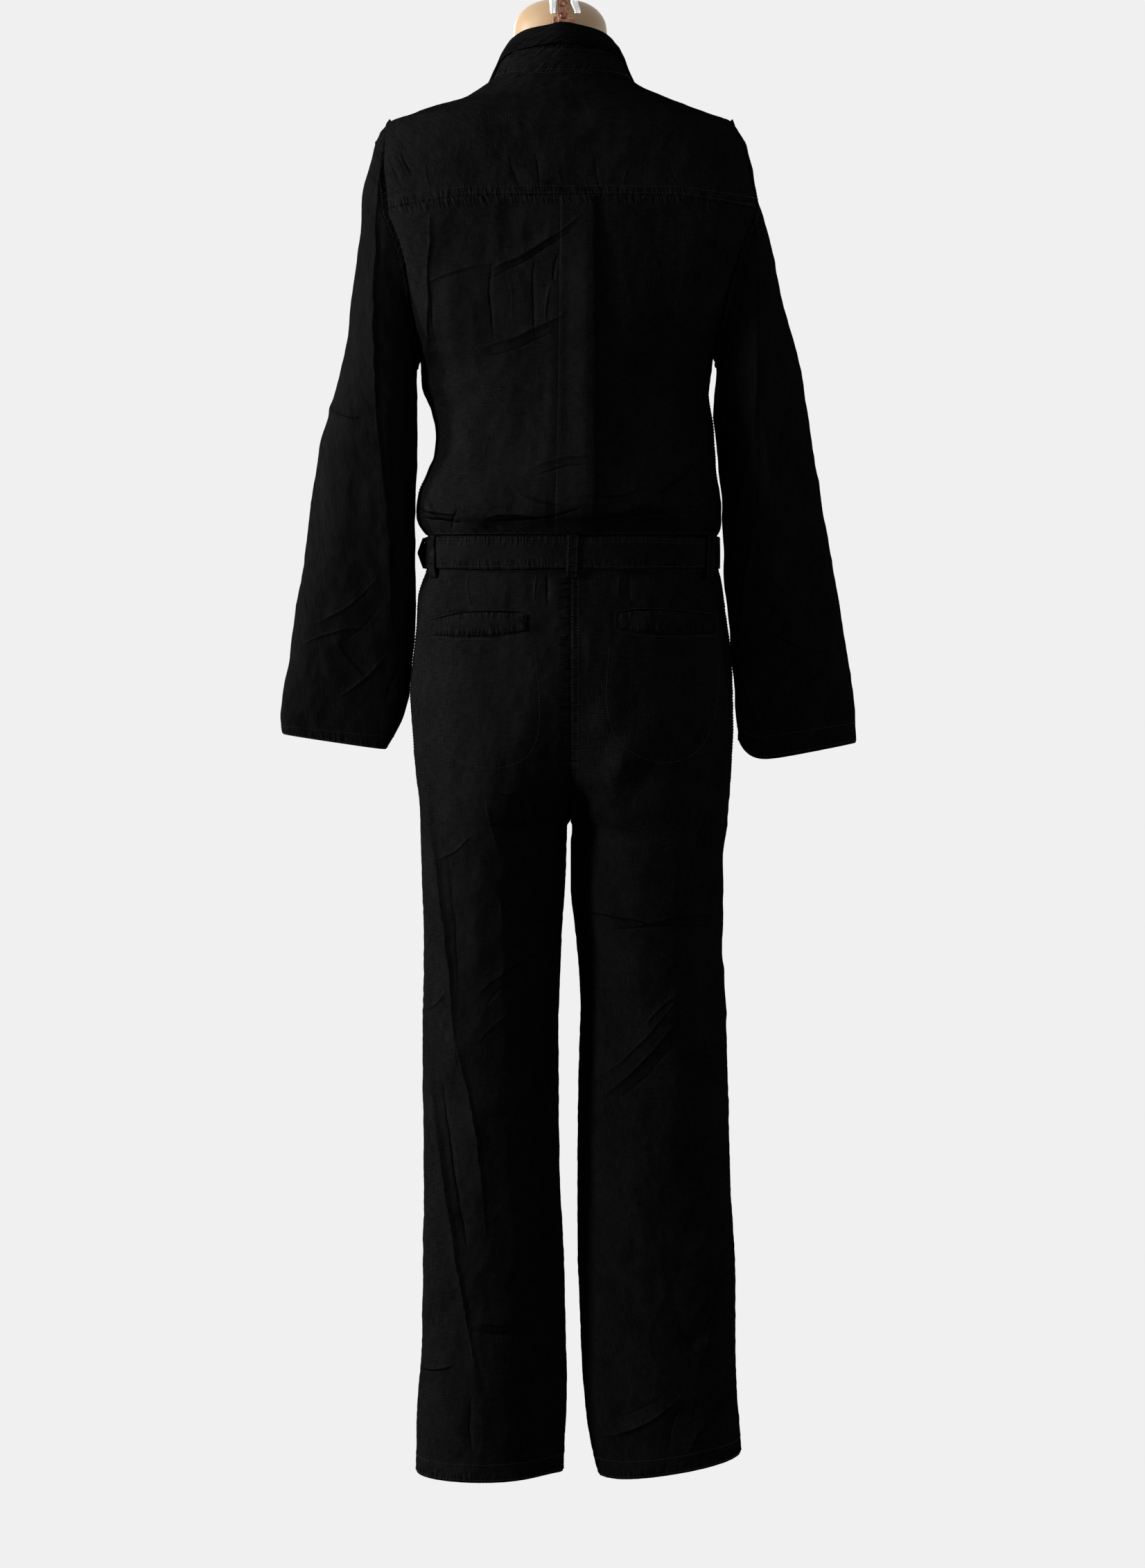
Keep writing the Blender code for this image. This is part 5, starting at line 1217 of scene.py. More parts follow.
def add_placket(name, top, end):
    """The overlapping strip of an opening, with its edges turned under."""
    rows = []
    for z in np.arange(top, end - 1, -4.0):
        sway = float(BODICE.at(z).sway) if z > BODICE_END else 0.0
        line = []
        for share in (-1, -0.96, -0.85, -0.7, -0.35, 0, 0.35, 0.7, 0.85, 0.96, 1):
            x = sway + share * PLACKET_HALF
            point = placket_point(x, z)
            swell = 1.5 * (1 - abs(share) ** 8) + 0.25 * noise.noise(Vector((x / 9, z / 14, 6)))
            line.append(point - Y * (0.6 + swell))
        rows.append(line)
    grid = np.array(rows)
    add_shell(name, plain_panel(grid, grid.mean(axis=(0, 1)) * [1, 0, 1]), thick=0.8)


class Batch:
    """Gathers many small parts into one mesh."""

    def __init__(self):
        self.points, self.faces, self.count = [], [], 0

    def take(self, points, faces):
        self.points.append(np.asarray(points, float))
        self.faces += [tuple(int(i) + self.count for i in face) for face in faces]
        self.count += len(points)

    def finish(self, name, finish, replaces=(), sharp=40):
        return add_mesh(name, np.concatenate(self.points), self.faces, None, finish, replaces, sharp)


def ring_faces(rings, sides, closed_ends=True):
    """Quads between rings of points, and a cap on each end."""
    faces = []
    for i in range(rings - 1):
        for j in range(sides):
            k = (j + 1) % sides
            faces.append((i * sides + j, i * sides + k, (i + 1) * sides + k, (i + 1) * sides + j))
    if closed_ends:
        faces.append(tuple(range(sides))[::-1])
        faces.append(tuple((rings - 1) * sides + j for j in range(sides)))
    return faces


def sew(batch, points, normals, pitch=STITCH_PITCH, length=STITCH_LENGTH):
    """A row of thread stitches along a line on the cloth, each sunk at both ends."""
    points, normals = np.asarray(points), np.asarray(normals)
    steps = np.linalg.norm(np.diff(points, axis=0), axis=1)
    along = np.concatenate([[0], np.cumsum(steps)])
    if along[-1] < pitch:
        return
    profile = ((-0.5, 0.35, -0.35), (-0.28, 0.9, 0.12), (0, 1.0, 0.24), (0.28, 0.9, 0.12), (0.5, 0.35, -0.35))
    turn = np.linspace(0, 2 * math.pi, 4, endpoint=False)
    for middle in np.arange(pitch / 2, along[-1] - pitch / 2, pitch):
        centre = np.array([np.interp(middle, along, points[:, n]) for n in range(3)])
        ahead = np.array([np.interp(middle + length / 2, along, points[:, n]) for n in range(3)])
        normal = unit(np.array([np.interp(middle, along, normals[:, n]) for n in range(3)]))
        forward = unit(ahead - centre)
        side = np.cross(normal, forward)
        rings = []
        for place, fat, rise in profile:
            spot = centre + forward * place * length + normal * (rise + 0.05)
            radius = STITCH_RADIUS * fat
            rings += [spot + radius * (math.cos(a) * side + math.sin(a) * normal) for a in turn]
        batch.take(rings, ring_faces(len(profile), len(turn)))


def panel_row(panel, down, start=0.0, end=1.0):
    """A line across a panel, down mm below its top edge, or above its lower edge if down is negative."""
    v = panel.v[:, panel.grid.shape[1] // 2]
    where = down if down > 0 else v[-1] + down
    row = float(np.interp(where, v, np.arange(len(v))))
    i, a = int(row), row - int(row)
    columns = slice(int(start * (panel.grid.shape[1] - 1)), int(end * (panel.grid.shape[1] - 1)) + 1)
    mix = [layer[i, columns] * (1 - a) + layer[i + 1, columns] * a for layer in (panel.grid, panel.normal)]
    return mix


def panel_column(panel, across, start=0.0, end=1.0):
    """A line down a panel, across mm in from its first side edge, or from its last if across is negative."""
    points, normals = [], []
    rows = len(panel.grid)
    for i in range(int(start * (rows - 1)), int(end * (rows - 1)) + 1):
        where = across if across > 0 else panel.whole_u[i, 0] + across
        points.append([np.interp(where, panel.u[i], panel.grid[i, :, n]) for n in range(3)])
        normals.append([np.interp(where, panel.u[i], panel.normal[i, :, n]) for n in range(3)])
    return np.array(points), np.array(normals)


def traced(panel, path, count=90):
    """A smooth line on a panel through places given as x and z."""
    path = np.array(path, float)
    line = through(np.column_stack([path, path[:, :1]]), count)[:, :2]
    found = [locate(panel, x, z) for x, z in line]
    return np.array([point for point, _ in found]), np.array([normal for _, normal in found])


def sew_bodice():
    batch = Batch()
    yoke, back = PANELS["yoke"], PANELS["back_panel"]
    for down in (-2.6, -9.2):
        sew(batch, *panel_row(yoke, down, 0.01, 0.99))
    for name in ("front_left", "front_right"):
        front = PANELS[name]
        sew(batch, *panel_column(front, -2.4, 0.36, 0.98))
    sew(batch, *panel_row(yoke, 2.2, 0.36, 0.64))
    sew(batch, *panel_row(back, -3.0, 0.01, 0.46))
    sew(batch, *panel_row(back, -3.0, 0.54, 0.99))
    for name in ("sleeve_left", "sleeve_right"):
        sleeve = PANELS[name]
        ring = [layer[6] * 0.5 + layer[7] * 0.5 for layer in (sleeve.grid, sleeve.normal)]
        sew(batch, *[np.concatenate([layer, layer[:1]]) for layer in ring])
        for up in (-15.5, -2.4):
            hem = panel_row(sleeve, up)
            sew(batch, *[np.concatenate([layer, layer[:1]]) for layer in hem])
    batch.finish("bodice_topstitching", "thread")


def sew_collar():
    batch = Batch()
    stand, fall = PANELS["collar_stand"], PANELS["collar_fall"]
    for down in (2.6, -3.2):
        sew(batch, *panel_row(stand, down, 0.02, 0.98), pitch=2.8, length=2.0)
    sew(batch, *panel_row(fall, -4.5, 0.01, 0.99), pitch=2.8, length=2.0)
    for across in (4.5, -4.5):
        sew(batch, *panel_column(fall, across, 0.52, 0.93), pitch=2.8, length=2.0)
    batch.finish("collar_topstitching", "thread")


def sew_trousers():
    batch = Batch()
    left, right = PANELS["trouser_back_left"], PANELS["trouser_back_right"]
    for inset in (-2.3, -7.6):
        points, normals = panel_column(right, inset, 0.045, 0.29)
        sew(batch, points, normals)
    for name in ("trouser_back_left", "trouser_back_right", "trouser_front_left", "trouser_front_right"):
        panel = PANELS[name]
        sew(batch, *panel_row(panel, -18.0))
        sew(batch, *panel_row(panel, -2.6))
        sew(batch, *panel_column(panel, 2.2, 0.05, 0.3))
        sew(batch, *panel_row(panel, 36.5, 0.02, 0.98))
    welts = (
        (left, ((40, -655.5), (70, -653.8), (108, -655.5), (143, -663.5))),
        (left, ((40, -677), (70, -682), (108, -683.5), (143, -681.5))),
        (left, ((39.5, -655.5), (39, -666), (40, -677))),
        (left, ((143, -663.5), (144, -673), (143, -681.5))),
        (right, ((-45.5, -654.5), (-75, -652), (-112, -654), (-148, -658.5))),
        (right, ((-45.5, -674.5), (-75, -679.5), (-112, -680.5), (-148, -680.5))),
        (right, ((-45, -654.5), (-44.5, -665), (-45.5, -674.5))),
        (right, ((-148, -658.5), (-149, -670), (-148, -680.5))),
    )
    for panel, path in welts:
        sew(batch, *traced(panel, path), pitch=2.6, length=1.9)
    bags = (
        (left, ((36, -688), (31, -740), (33, -780), (48, -803), (80, -811), (112, -803), (136, -780), (144, -740),
                (146, -690))),
        (right, ((-39, -688), (-36, -742), (-44, -778), (-66, -798), (-96, -806), (-126, -796), (-143, -768),
                 (-150, -725), (-152, -690))),
    )
    for panel, path in bags:
        sew(batch, *traced(panel, path, 200), pitch=2.9, length=1.9)
    batch.finish("trouser_topstitching", "thread")


def sew_belt():
    batch = Batch()
    belt = PANELS["belt"]
    for down in (2.4, 5.4, -2.4):
        sew(batch, *panel_row(belt, down, 0.01, 0.97))
    for name in ("belt_loop_back", "belt_loop_left", "belt_loop_right", "belt_loop_front_left",
                 "belt_loop_front_right"):
        loop = PANELS[name]
        for across in (2.0, -2.0):
            sew(batch, *panel_column(loop, across, 0.06, 0.96), pitch=2.6, length=1.9)
    for name in ("front_placket", "fly_placket"):
        placket = PANELS[name]
        for across in (3.2, -3.2):
            sew(batch, *panel_column(placket, across, 0.02, 0.98))
    batch.finish("belt_topstitching", "thread")


def add_buttons():
    """Four-hole buttons with a raised rim, and the thread through them."""
    buttons, thread = Batch(), Batch()
    names = []
    profile = ((0, 0.0), (0.86, 0.0), (0.97, 0.5), (1.0, 1.1), (0.97, 1.9), (0.86, 2.4), (0.74, 2.2), (0.62, 1.5),
               (0.3, 1.4), (0.02, 1.4))
    turn = np.linspace(0, 2 * math.pi, 36, endpoint=False)
    for heights, placket in (((-198, -258, -318, -378, -438, -498), "front_placket"), ((-650, -705), "fly_placket")):
        for height in heights:
            names.append(f"button{-height}")
            sway = float(BODICE.at(height).sway) if height > BODICE_END else 0.0
            foot, normal = locate(PANELS[placket], sway, height)
            side = unit(np.cross(Z, normal))
            up = np.cross(normal, side)
            foot = foot + normal * 0.7
            rings = [foot + normal * out + BUTTON_RADIUS * wide * (math.cos(a) * side + math.sin(a) * up)
                     for wide, out in profile for a in turn]
            buttons.take(rings, ring_faces(len(profile), len(turn)))
            for a, b in ((-1, -1), (1, -1)):
                start, end = (foot + normal * 1.6 + 1.5 * (a * k * side + b * k * up) for k in (-1, 1))
                sew(thread, [start, end], [normal, normal], pitch=2.9, length=3.9)
    buttons.finish("buttons", "button_horn", names)
    thread.finish("button_thread", "thread")


def add_box(name, low, high, finish, round_off, replaces=()):
    """A plate with its edges rounded off."""
    low, high = np.array(low, float), np.array(high, float)
    ends, pick = (low, high), (0, 1)
    corners = [(ends[i][0], ends[j][1], ends[k][2]) for i in pick for j in pick for k in pick]
    sides = [(0, 1, 3, 2), (4, 6, 7, 5), (0, 4, 5, 1), (2, 3, 7, 6), (0, 2, 6, 4), (1, 5, 7, 3)]
    plate = add_mesh(name, np.array(corners), sides, None, finish, replaces or [name], 60)
    bevel = plate.modifiers.new("rounded", "BEVEL")
    bevel.width = round_off * MM
    bevel.segments = 4
    return plate


def add_buckle():
    """A rounded rectangular frame over the belt at centre front, with one prong."""
    centre = float(BODICE.at(BODICE_END).sway)
    face = float(BODICE.at(BODICE_END).front) - BELT_AIR - BELT_THICK - BELT_LAYER - 2.1
    middle = (BELT_TOP + BELT_END) / 2
    wide, tall, corner, bar = 22.5, 19.5, 6.0, 2.4
    path = []
    for a, b, start in ((1, 1, 0), (-1, 1, 90), (-1, -1, 180), (1, -1, 270)):
        for angle in range(start, start + 91, 15):
            t = math.radians(angle)
            path.append((centre + a * (wide - corner) + corner * math.cos(t), face,
                         middle + b * (tall - corner) + corner * math.sin(t)))
    batch = Batch()
    take_tube(batch, np.array(path), bar, 12, loop=True, flat=0.62)
    batch.finish("buckle_frame", "buckle_metal", ["buckle_frame"])
    prong = Batch()
    take_tube(prong, np.array([(centre - wide, face - 1.4, middle), (centre, face - 0.3, middle),
                               (centre + wide - 1, face - 1.6, middle)]), 1.5, 10)
    prong.finish("buckle_prong", "buckle_metal", ["buckle_prong"])


def take_tube(batch, line, radius, sides, loop=False, flat=1.0):
    """A round bar along a line, or a ring if loop is true; flat squeezes it along Y."""
    along = np.roll(line, -1, axis=0) - np.roll(line, 1, axis=0) if loop else np.gradient(line, axis=0)
    along = unit(along)
    guide = Y if abs(along[0, 1]) < 0.9 else X
    side = unit(np.cross(along, guide))
    out = np.cross(side, along)
    radius = np.broadcast_to(radius, len(line))
    turn = np.linspace(0, 2 * math.pi, sides, endpoint=False)
    points = [p + r * (math.cos(a) * s + flat * math.sin(a) * o)
              for p, s, o, r in zip(line, side, out, radius) for a in turn]
    faces = ring_faces(len(line), sides, not loop)
    if loop:
        last = (len(line) - 1) * sides
        faces += [(last + j, last + (j + 1) % sides, (j + 1) % sides, j) for j in range(sides)]
    batch.take(points, faces)


def form_ring(height, lines, columns):
    """A closed ring of the form: the back from left to right, then the front from right to left."""
    back = evenly(whole_back(height, lines), np.linspace(0, 1, columns))
    right = half_section(height, False, -1, lines)[::-1]
    left = half_section(height, False, 1, lines)
    front = evenly(np.concatenate([right, left[1:]]), np.linspace(0, 1, columns + 2)[1:-1])
    return np.concatenate([back, front])


def add_form():
    """The torso form: a domed neck, shoulders that follow the yoke, and a body that ends at the hips."""
    columns = FORM_COLUMNS
    turn = np.concatenate([np.linspace(0, math.pi, columns), np.linspace(math.pi, 2 * math.pi, columns + 2)[1:-1]])
    neck = []
    for n in (FORM_NECK.at(height) for height in FORM_NECK.along[::-1]):
        depth = np.where(np.sin(turn) > 0, n.back, -n.front)
        ring = [NECK_X + n.half * np.cos(turn), depth * np.sin(turn), np.full(len(turn), n.height)]
        neck.append(np.column_stack(ring))
    cloth = np.array([form_ring(height, BODICE, columns) for height in FORM_SHOULDER_ROWS])
    air = np.full(cloth.shape[1], FORM_AIR)
    air[columns:] = FORM_FRONT_AIR
    inward = grid_normals(cloth, axis_core(cloth[:, 0, 2], up=-60), closed=True)
    under = cloth - inward * (1.5 + air)[:, None]
    from_middle = cloth[:, columns:, 0] - THROAT_X
    under[:, columns:, 1] += FORM_THROAT * np.exp(-((from_middle / THROAT_WIDTH) ** 2))
    body = [form_ring(height, FORM_BODY, columns) for height in FORM_BODY.along[::-1]]
    control = np.concatenate([neck, under[1:-1], body])
    cap = []
    for share in (0.02, 0.35, 0.7):
        cap.append(control[0] * [share, share, 1] + [NECK_X * (1 - share), 0, 1.1 * (1 - share**2)])
    rings = np.concatenate([cap, through(control, 180)])
    add_mesh("torso_form", rings.reshape(-1, 3), ring_faces(len(rings), 2 * columns), None, "form_skin",
             ["torso_form"], 35)


def add_bracket():
    """A channel with rolled steel edges, screwed to the back of the neck and turned forward over it."""
    x = HANG_X
    base, plate = PLATE_BACK + 0.3, PLATE_BACK + 2.4
    face = plate + 1.7
    half = RAIL_APART - RAIL_RADIUS - 0.35
    top = FORM_TOP - 0.1
    add_box("bracket_base", (x - 11, base, -90), (x + 11, plate - 0.3, -52.5), "plate_bronze", 0.8)
    add_box("bracket_plate", (x - half, plate, -64), (x + half, face, top), "plate_bronze", 0.6)
    for name, side in (("bracket_rail_left", 1), ("bracket_rail_right", -1)):
        flare = 0.0 if side == 1 else -3.6
        heights = np.linspace(top, -50.5, 30)
        low = soft(-heights, 38, 50.5)
        line = np.column_stack([x + side * RAIL_APART + flare * low, plate + RAIL_RADIUS + 1.2 * low, heights])
        girth = RAIL_RADIUS * np.where(heights < -49.3, 0.86, 1.0) * (1 - 0.12 * low)
        batch = Batch()
        take_tube(batch, line, girth, 20)
        lip = line + [side * -1.6, RAIL_RADIUS * 0.72, 0]
        take_tube(batch, lip, 1.15, 10)
        batch.finish(name, "rail_steel", [name])
    for name, height, radius in (("bracket_screw_upper", -39.5, 3.4), ("bracket_screw_lower", -51.5, 4.0)):
        batch = Batch()
        turn = np.linspace(0, 2 * math.pi, 28, endpoint=False)
        dome = ((0.9, 0.0), (1.0, 0.4), (0.97, 0.9), (0.8, 1.6), (0.5, 2.05), (0.2, 2.2), (0.02, 2.22))
        points = [(x + radius * wide * math.cos(a), face + 0.3 + out, height + radius * wide * math.sin(a))
                  for wide, out in dome for a in turn]
        batch.take(points, ring_faces(len(dome), len(turn)))
        batch.finish(name, "plate_bronze", [name])
    add_box("bracket_arm", (x - 15, -9, top + 0.4), (x + 15, plate + 2 * RAIL_RADIUS, top + 3.8), "rail_steel", 0.8)
    around = np.linspace(0, 2 * math.pi, 72, endpoint=False)
    circle = np.column_stack([x + 9.9 * np.cos(around), 0 * around, EYE_HEIGHT + 9.9 * np.sin(around)])
    eye = Batch()
    take_tube(eye, circle, 2.1, 16, loop=True)
    eye.finish("hanging_eye", "rail_steel", ["hanging_eye"])


def linear(code):
    """An sRGB hex colour as linear red, green, blue and alpha."""
    parts = [int(code[i : i + 2], 16) / 255 for i in (1, 3, 5)]
    return tuple(c / 12.92 if c <= 0.04045 else ((c + 0.055) / 1.055) ** 2.4 for c in parts) + (1.0,)


def new_material(name, label, **constants):
    """A material with its Principled shader's constant inputs set by name."""
    material = bpy.data.materials.new(label)
    material.use_nodes = True
    shader = material.node_tree.nodes["Principled BSDF"]
    for key, value in constants.items():
        shader.inputs[key.replace("_", " ")].default_value = value
    MATERIALS[name] = material
    return material.node_tree, shader


def add_node(tree, kind, links=(), inputs=(), **settings):
    """A node with its settings, its constant inputs, and its links as (input, node, output)."""
    made = tree.nodes.new(kind)
    for key, value in settings.items():
        setattr(made, key, value)
    for key, value in inputs:
        made.inputs[key].default_value = value
    for key, source, output in links:
        tree.links.new(source.outputs[output], made.inputs[key])
    return made


def twill_material():
    # Brushed cotton twill, garment dyed: fully matt, a neutral near-black with slubs in the yarn. The
    # yarns are drawn at 1.3 mm, coarser than real, so that they show. Topstitched seams are puckered in short
    # ridges across the seam, and the ridges have lost some of their dye.
    tree, shader = new_material("twill", "cotton_twill_black_brushed", Roughness=1.0, Specular_IOR_Level=0.0)
    cloth = add_node(tree, "ShaderNodeUVMap", uv_map="cloth")
    layers = {}
    noises = (("warp", (7.5, 0.8, 1), 3.0), ("weft", (0.9, 8.0, 1), 3.0), ("wear", (0.22, 0.16, 1), 2.0),
              ("across", (2.9, 0.55, 1), 1.0), ("along", (0.55, 2.9, 1), 1.0))
    for layer, scale, detail in noises:
        space = add_node(tree, "ShaderNodeMapping", [("Vector", cloth, "UV")], [("Scale", scale)])
        layers[layer] = add_node(tree, "ShaderNodeTexNoise", [("Vector", space, "Vector")],
                                 [("Scale", 1.0), ("Detail", detail), ("Roughness", 0.6)])
    wale = add_node(tree, "ShaderNodeTexWave", [("Vector", cloth, "UV")],
                    [("Scale", 2.78), ("Distortion", 0.6), ("Detail", 1.0), ("Detail Scale", 1.5)],
                    bands_direction="DIAGONAL")
    yarns = add_node(tree, "ShaderNodeMath", [(0, layers["warp"], "Fac"), (1, layers["weft"], "Fac")],
                     operation="ADD")

    seams = add_node(tree, "ShaderNodeAttribute", attribute_name="seam_reach")
    ways = add_node(tree, "ShaderNodeSeparateXYZ", [("Vector", seams, "Vector")])
    ridges = []
    for way, layer in (("X", "across"), ("Y", "along")):
        near = add_node(tree, "ShaderNodeMapRange", [("Value", ways, way)],
                        [("From Min", 13.0), ("From Max", 3.0)], interpolation_type="SMOOTHSTEP")
        level = add_node(tree, "ShaderNodeMath", [(0, layers[layer], "Fac")], [(1, 0.5)], operation="SUBTRACT")
        ridges.append(add_node(tree, "ShaderNodeMath", [(0, level, "Value"), (1, near, "Result")],
                               operation="MULTIPLY"))
    pucker = add_node(tree, "ShaderNodeMath", [(0, ridges[0], "Value"), (1, ridges[1], "Value")], operation="ADD")

    lines = None
    for layer in range(FOLD_LAYERS):
        fold = add_node(tree, "ShaderNodeAttribute", attribute_name=f"fold{layer}")
        part = add_node(tree, "ShaderNodeSeparateXYZ", [("Vector", fold, "Vector")])
        beside = add_node(tree, "ShaderNodeMath", [(0, part, "X")], operation="ABSOLUTE")
        near = add_node(tree, "ShaderNodeMapRange", [("Value", beside, "Value")],
                        [("From Min", FOLD_REACH), ("From Max", 0.0)])
        crest = add_node(tree, "ShaderNodeMath", [(0, near, "Result")], [(1, 1.8)], operation="POWER")
        if lines:
            lines = add_node(tree, "ShaderNodeMath", [(0, crest, "Value"), (1, part, "Y"), (2, lines, "Value")],
                             operation="MULTIPLY_ADD")
        else:
            lines = add_node(tree, "ShaderNodeMath", [(0, crest, "Value"), (1, part, "Y")], operation="MULTIPLY")

    worn = add_node(tree, "ShaderNodeMath", [(0, layers["wear"], "Fac"), (2, yarns, "Value")], [(1, 0.5)],
                    operation="MULTIPLY_ADD")
    tone = add_node(tree, "ShaderNodeMath", [(0, pucker, "Value"), (2, worn, "Value")], [(1, 1.1)],
                    operation="MULTIPLY_ADD")
    depth = add_node(tree, "ShaderNodeMapRange", [("Value", tone, "Value")],
                     [("From Min", 0.72), ("From Max", 1.8)])
    ramp = add_node(tree, "ShaderNodeValToRGB", [("Fac", depth, "Result")])
    dark, light = ramp.color_ramp.elements
    dark.color, light.color = linear("#030303"), linear("#242425")
    tree.links.new(ramp.outputs["Color"], shader.inputs["Base Color"])
    grain = add_node(tree, "ShaderNodeMath", [(0, wale, "Fac"), (2, yarns, "Value")], [(1, 0.35)],
                     operation="MULTIPLY_ADD")
    rough = add_node(tree, "ShaderNodeBump", [("Height", grain, "Value")], [("Strength", 0.7), ("Distance", 0.0007)])
    folded = add_node(tree, "ShaderNodeBump", [("Height", pucker, "Value"), ("Normal", rough, "Normal")],
                      [("Strength", 1.0), ("Distance", 0.0045)])
    creased = add_node(tree, "ShaderNodeBump", [("Height", lines, "Value"), ("Normal", folded, "Normal")],
                       [("Strength", 1.0), ("Distance", MM)])
    tree.links.new(creased.outputs["Normal"], shader.inputs["Normal"])


def mottled(tree, shader, grain, shine, tints=(), stops=(0.0, 1.0), stretch=None):
    """Noise over the object that moves the roughness between two values and the colour between two tints."""
    place = add_node(tree, "ShaderNodeTexCoord")
    source = [("Vector", place, "Object")]
    if stretch:
        drawn = add_node(tree, "ShaderNodeMapping", source, [("Scale", stretch)])
        source = [("Vector", drawn, "Vector")]
    pattern = add_node(tree, "ShaderNodeTexNoise", source, grain)
    if tints:
        ramp = add_node(tree, "ShaderNodeValToRGB", [("Fac", pattern, "Fac")])
        for end in (0, 1):
            ramp.color_ramp.elements[end].position = stops[end]
            ramp.color_ramp.elements[end].color = linear(tints[end])
        tree.links.new(ramp.outputs["Color"], shader.inputs["Base Color"])
    worn = add_node(tree, "ShaderNodeMapRange", [("Value", pattern, "Fac")],
                    [("To Min", shine[0]), ("To Max", shine[1])])
    tree.links.new(worn.outputs["Result"], shader.inputs["Roughness"])


def rippled(tree, shader, grain, strength):
    """A fine bump over the object, 0.2 mm deep."""
    place = add_node(tree, "ShaderNodeTexCoord")
    pattern = add_node(tree, "ShaderNodeTexNoise", [("Vector", place, "Object")], grain)
    bump = add_node(tree, "ShaderNodeBump", [("Height", pattern, "Fac")],
                    [("Strength", strength), ("Distance", 0.0002)])
    tree.links.new(bump.outputs["Normal"], shader.inputs["Normal"])


def other_materials():
    # Spun polyester thread, dyed tonal: a shade lighter and shinier than the cloth, so the rows just show.
    tree, shader = new_material("thread", "polyester_thread_black_spun", Roughness=0.6, Specular_IOR_Level=0.08,
                                Base_Color=linear("#232327"))
    rippled(tree, shader, [("Scale", 2600.0), ("Detail", 1.0)], 0.5)

    # Turned horn, tumble polished: nearly black with brown streaks and a soft gloss.
    tree, shader = new_material("button_horn", "horn_black_polished", Specular_IOR_Level=0.14)
    mottled(tree, shader, [("Scale", 160.0), ("Detail", 6.0), ("Distortion", 1.6)], (0.3, 0.5),
            ("#0B0A0A", "#2A211B"))

    # Steel, black nickel plated and brushed: dark, with a fine grain in its shine.
    tree, shader = new_material("buckle_metal", "steel_black_nickel_brushed", Metallic=1.0,
                                Base_Color=linear("#26262A"))
    mottled(tree, shader, [("Scale", 1.0), ("Detail", 3.0)], (0.25, 0.5), stretch=(40, 900, 900))

    # Moulded fibreglass, sprayed with satin lacquer: smooth warm beige with a soft wide highlight.
    tree, shader = new_material("form_skin", "fibreglass_beige_lacquered", Specular_IOR_Level=0.45, Coat_Weight=0.2,
                                Coat_Roughness=0.3)
    mottled(tree, shader, [("Scale", 18.0), ("Detail", 4.0)], (0.36, 0.5), ("#D2AB80", "#DDB98E"))
    rippled(tree, shader, [("Scale", 420.0), ("Detail", 2.0)], 0.12)

    # Cold rolled steel, nickel plated: bright, with drawing lines along it.
    tree, shader = new_material("rail_steel", "steel_rolled_nickel_plated", Metallic=1.0)
    mottled(tree, shader, [("Scale", 1.0), ("Detail", 3.0)], (0.14, 0.34), ("#B9BCBC", "#E4E5E2"),
            stretch=(1400, 1400, 60))

    # Steel, bronze lacquered: dark reddish brown, worn lighter in patches.
    tree, shader = new_material("plate_bronze", "steel_bronze_lacquered", Metallic=0.85)
    mottled(tree, shader, [("Scale", 210.0), ("Detail", 5.0), ("Roughness", 0.65)], (0.3, 0.55),
            ("#5A3524", "#B98A72"), (0.35, 0.7))

    # Studio paper, evenly lit, so that it stays one pale tone.
    tree, shader = new_material("paper", "studio_paper_pale", Roughness=1.0, Base_Color=(0.0, 0.0, 0.0, 1.0),
                                Specular_IOR_Level=0.0, Emission_Strength=PAPER_GLOW)
    shader.inputs["Emission Color"].default_value = linear("#F0F0F0")



def declare_cloth():
    """Reads each cloth piece's grid and closes the sleeves' rings; no cut is stated or kept."""
    worn = (
        ("yoke", "torso_form"), ("back_panel", "yoke"), ("front_left", "yoke"), ("front_right", "yoke"),
        ("sleeve_left", "yoke"), ("sleeve_right", "yoke"), ("trouser_back_left", "back_panel"),
        ("trouser_back_right", "back_panel"), ("trouser_front_left", "front_left"),
        ("trouser_front_right", "front_right"), ("collar_stand", "yoke"), ("collar_fall", "collar_stand"),
        ("belt", "belt_loop_back"), ("belt_loop_back", "back_panel"), ("belt_loop_left", "back_panel"),
        ("belt_loop_right", "back_panel"), ("belt_loop_front_left", "front_left"),
        ("belt_loop_front_right", "front_right"), ("back_welt_left", "trouser_back_left"),
        ("back_welt_right", "trouser_back_right"), ("front_placket", "front_left"),
        ("fly_placket", "trouser_front_left"),
    )
    for name, under in worn:
        panel = PANELS[name]
        grid = panel.grid
        if name.startswith("sleeve"):
            grid = np.concatenate([grid, grid[:, :1]], axis=1)


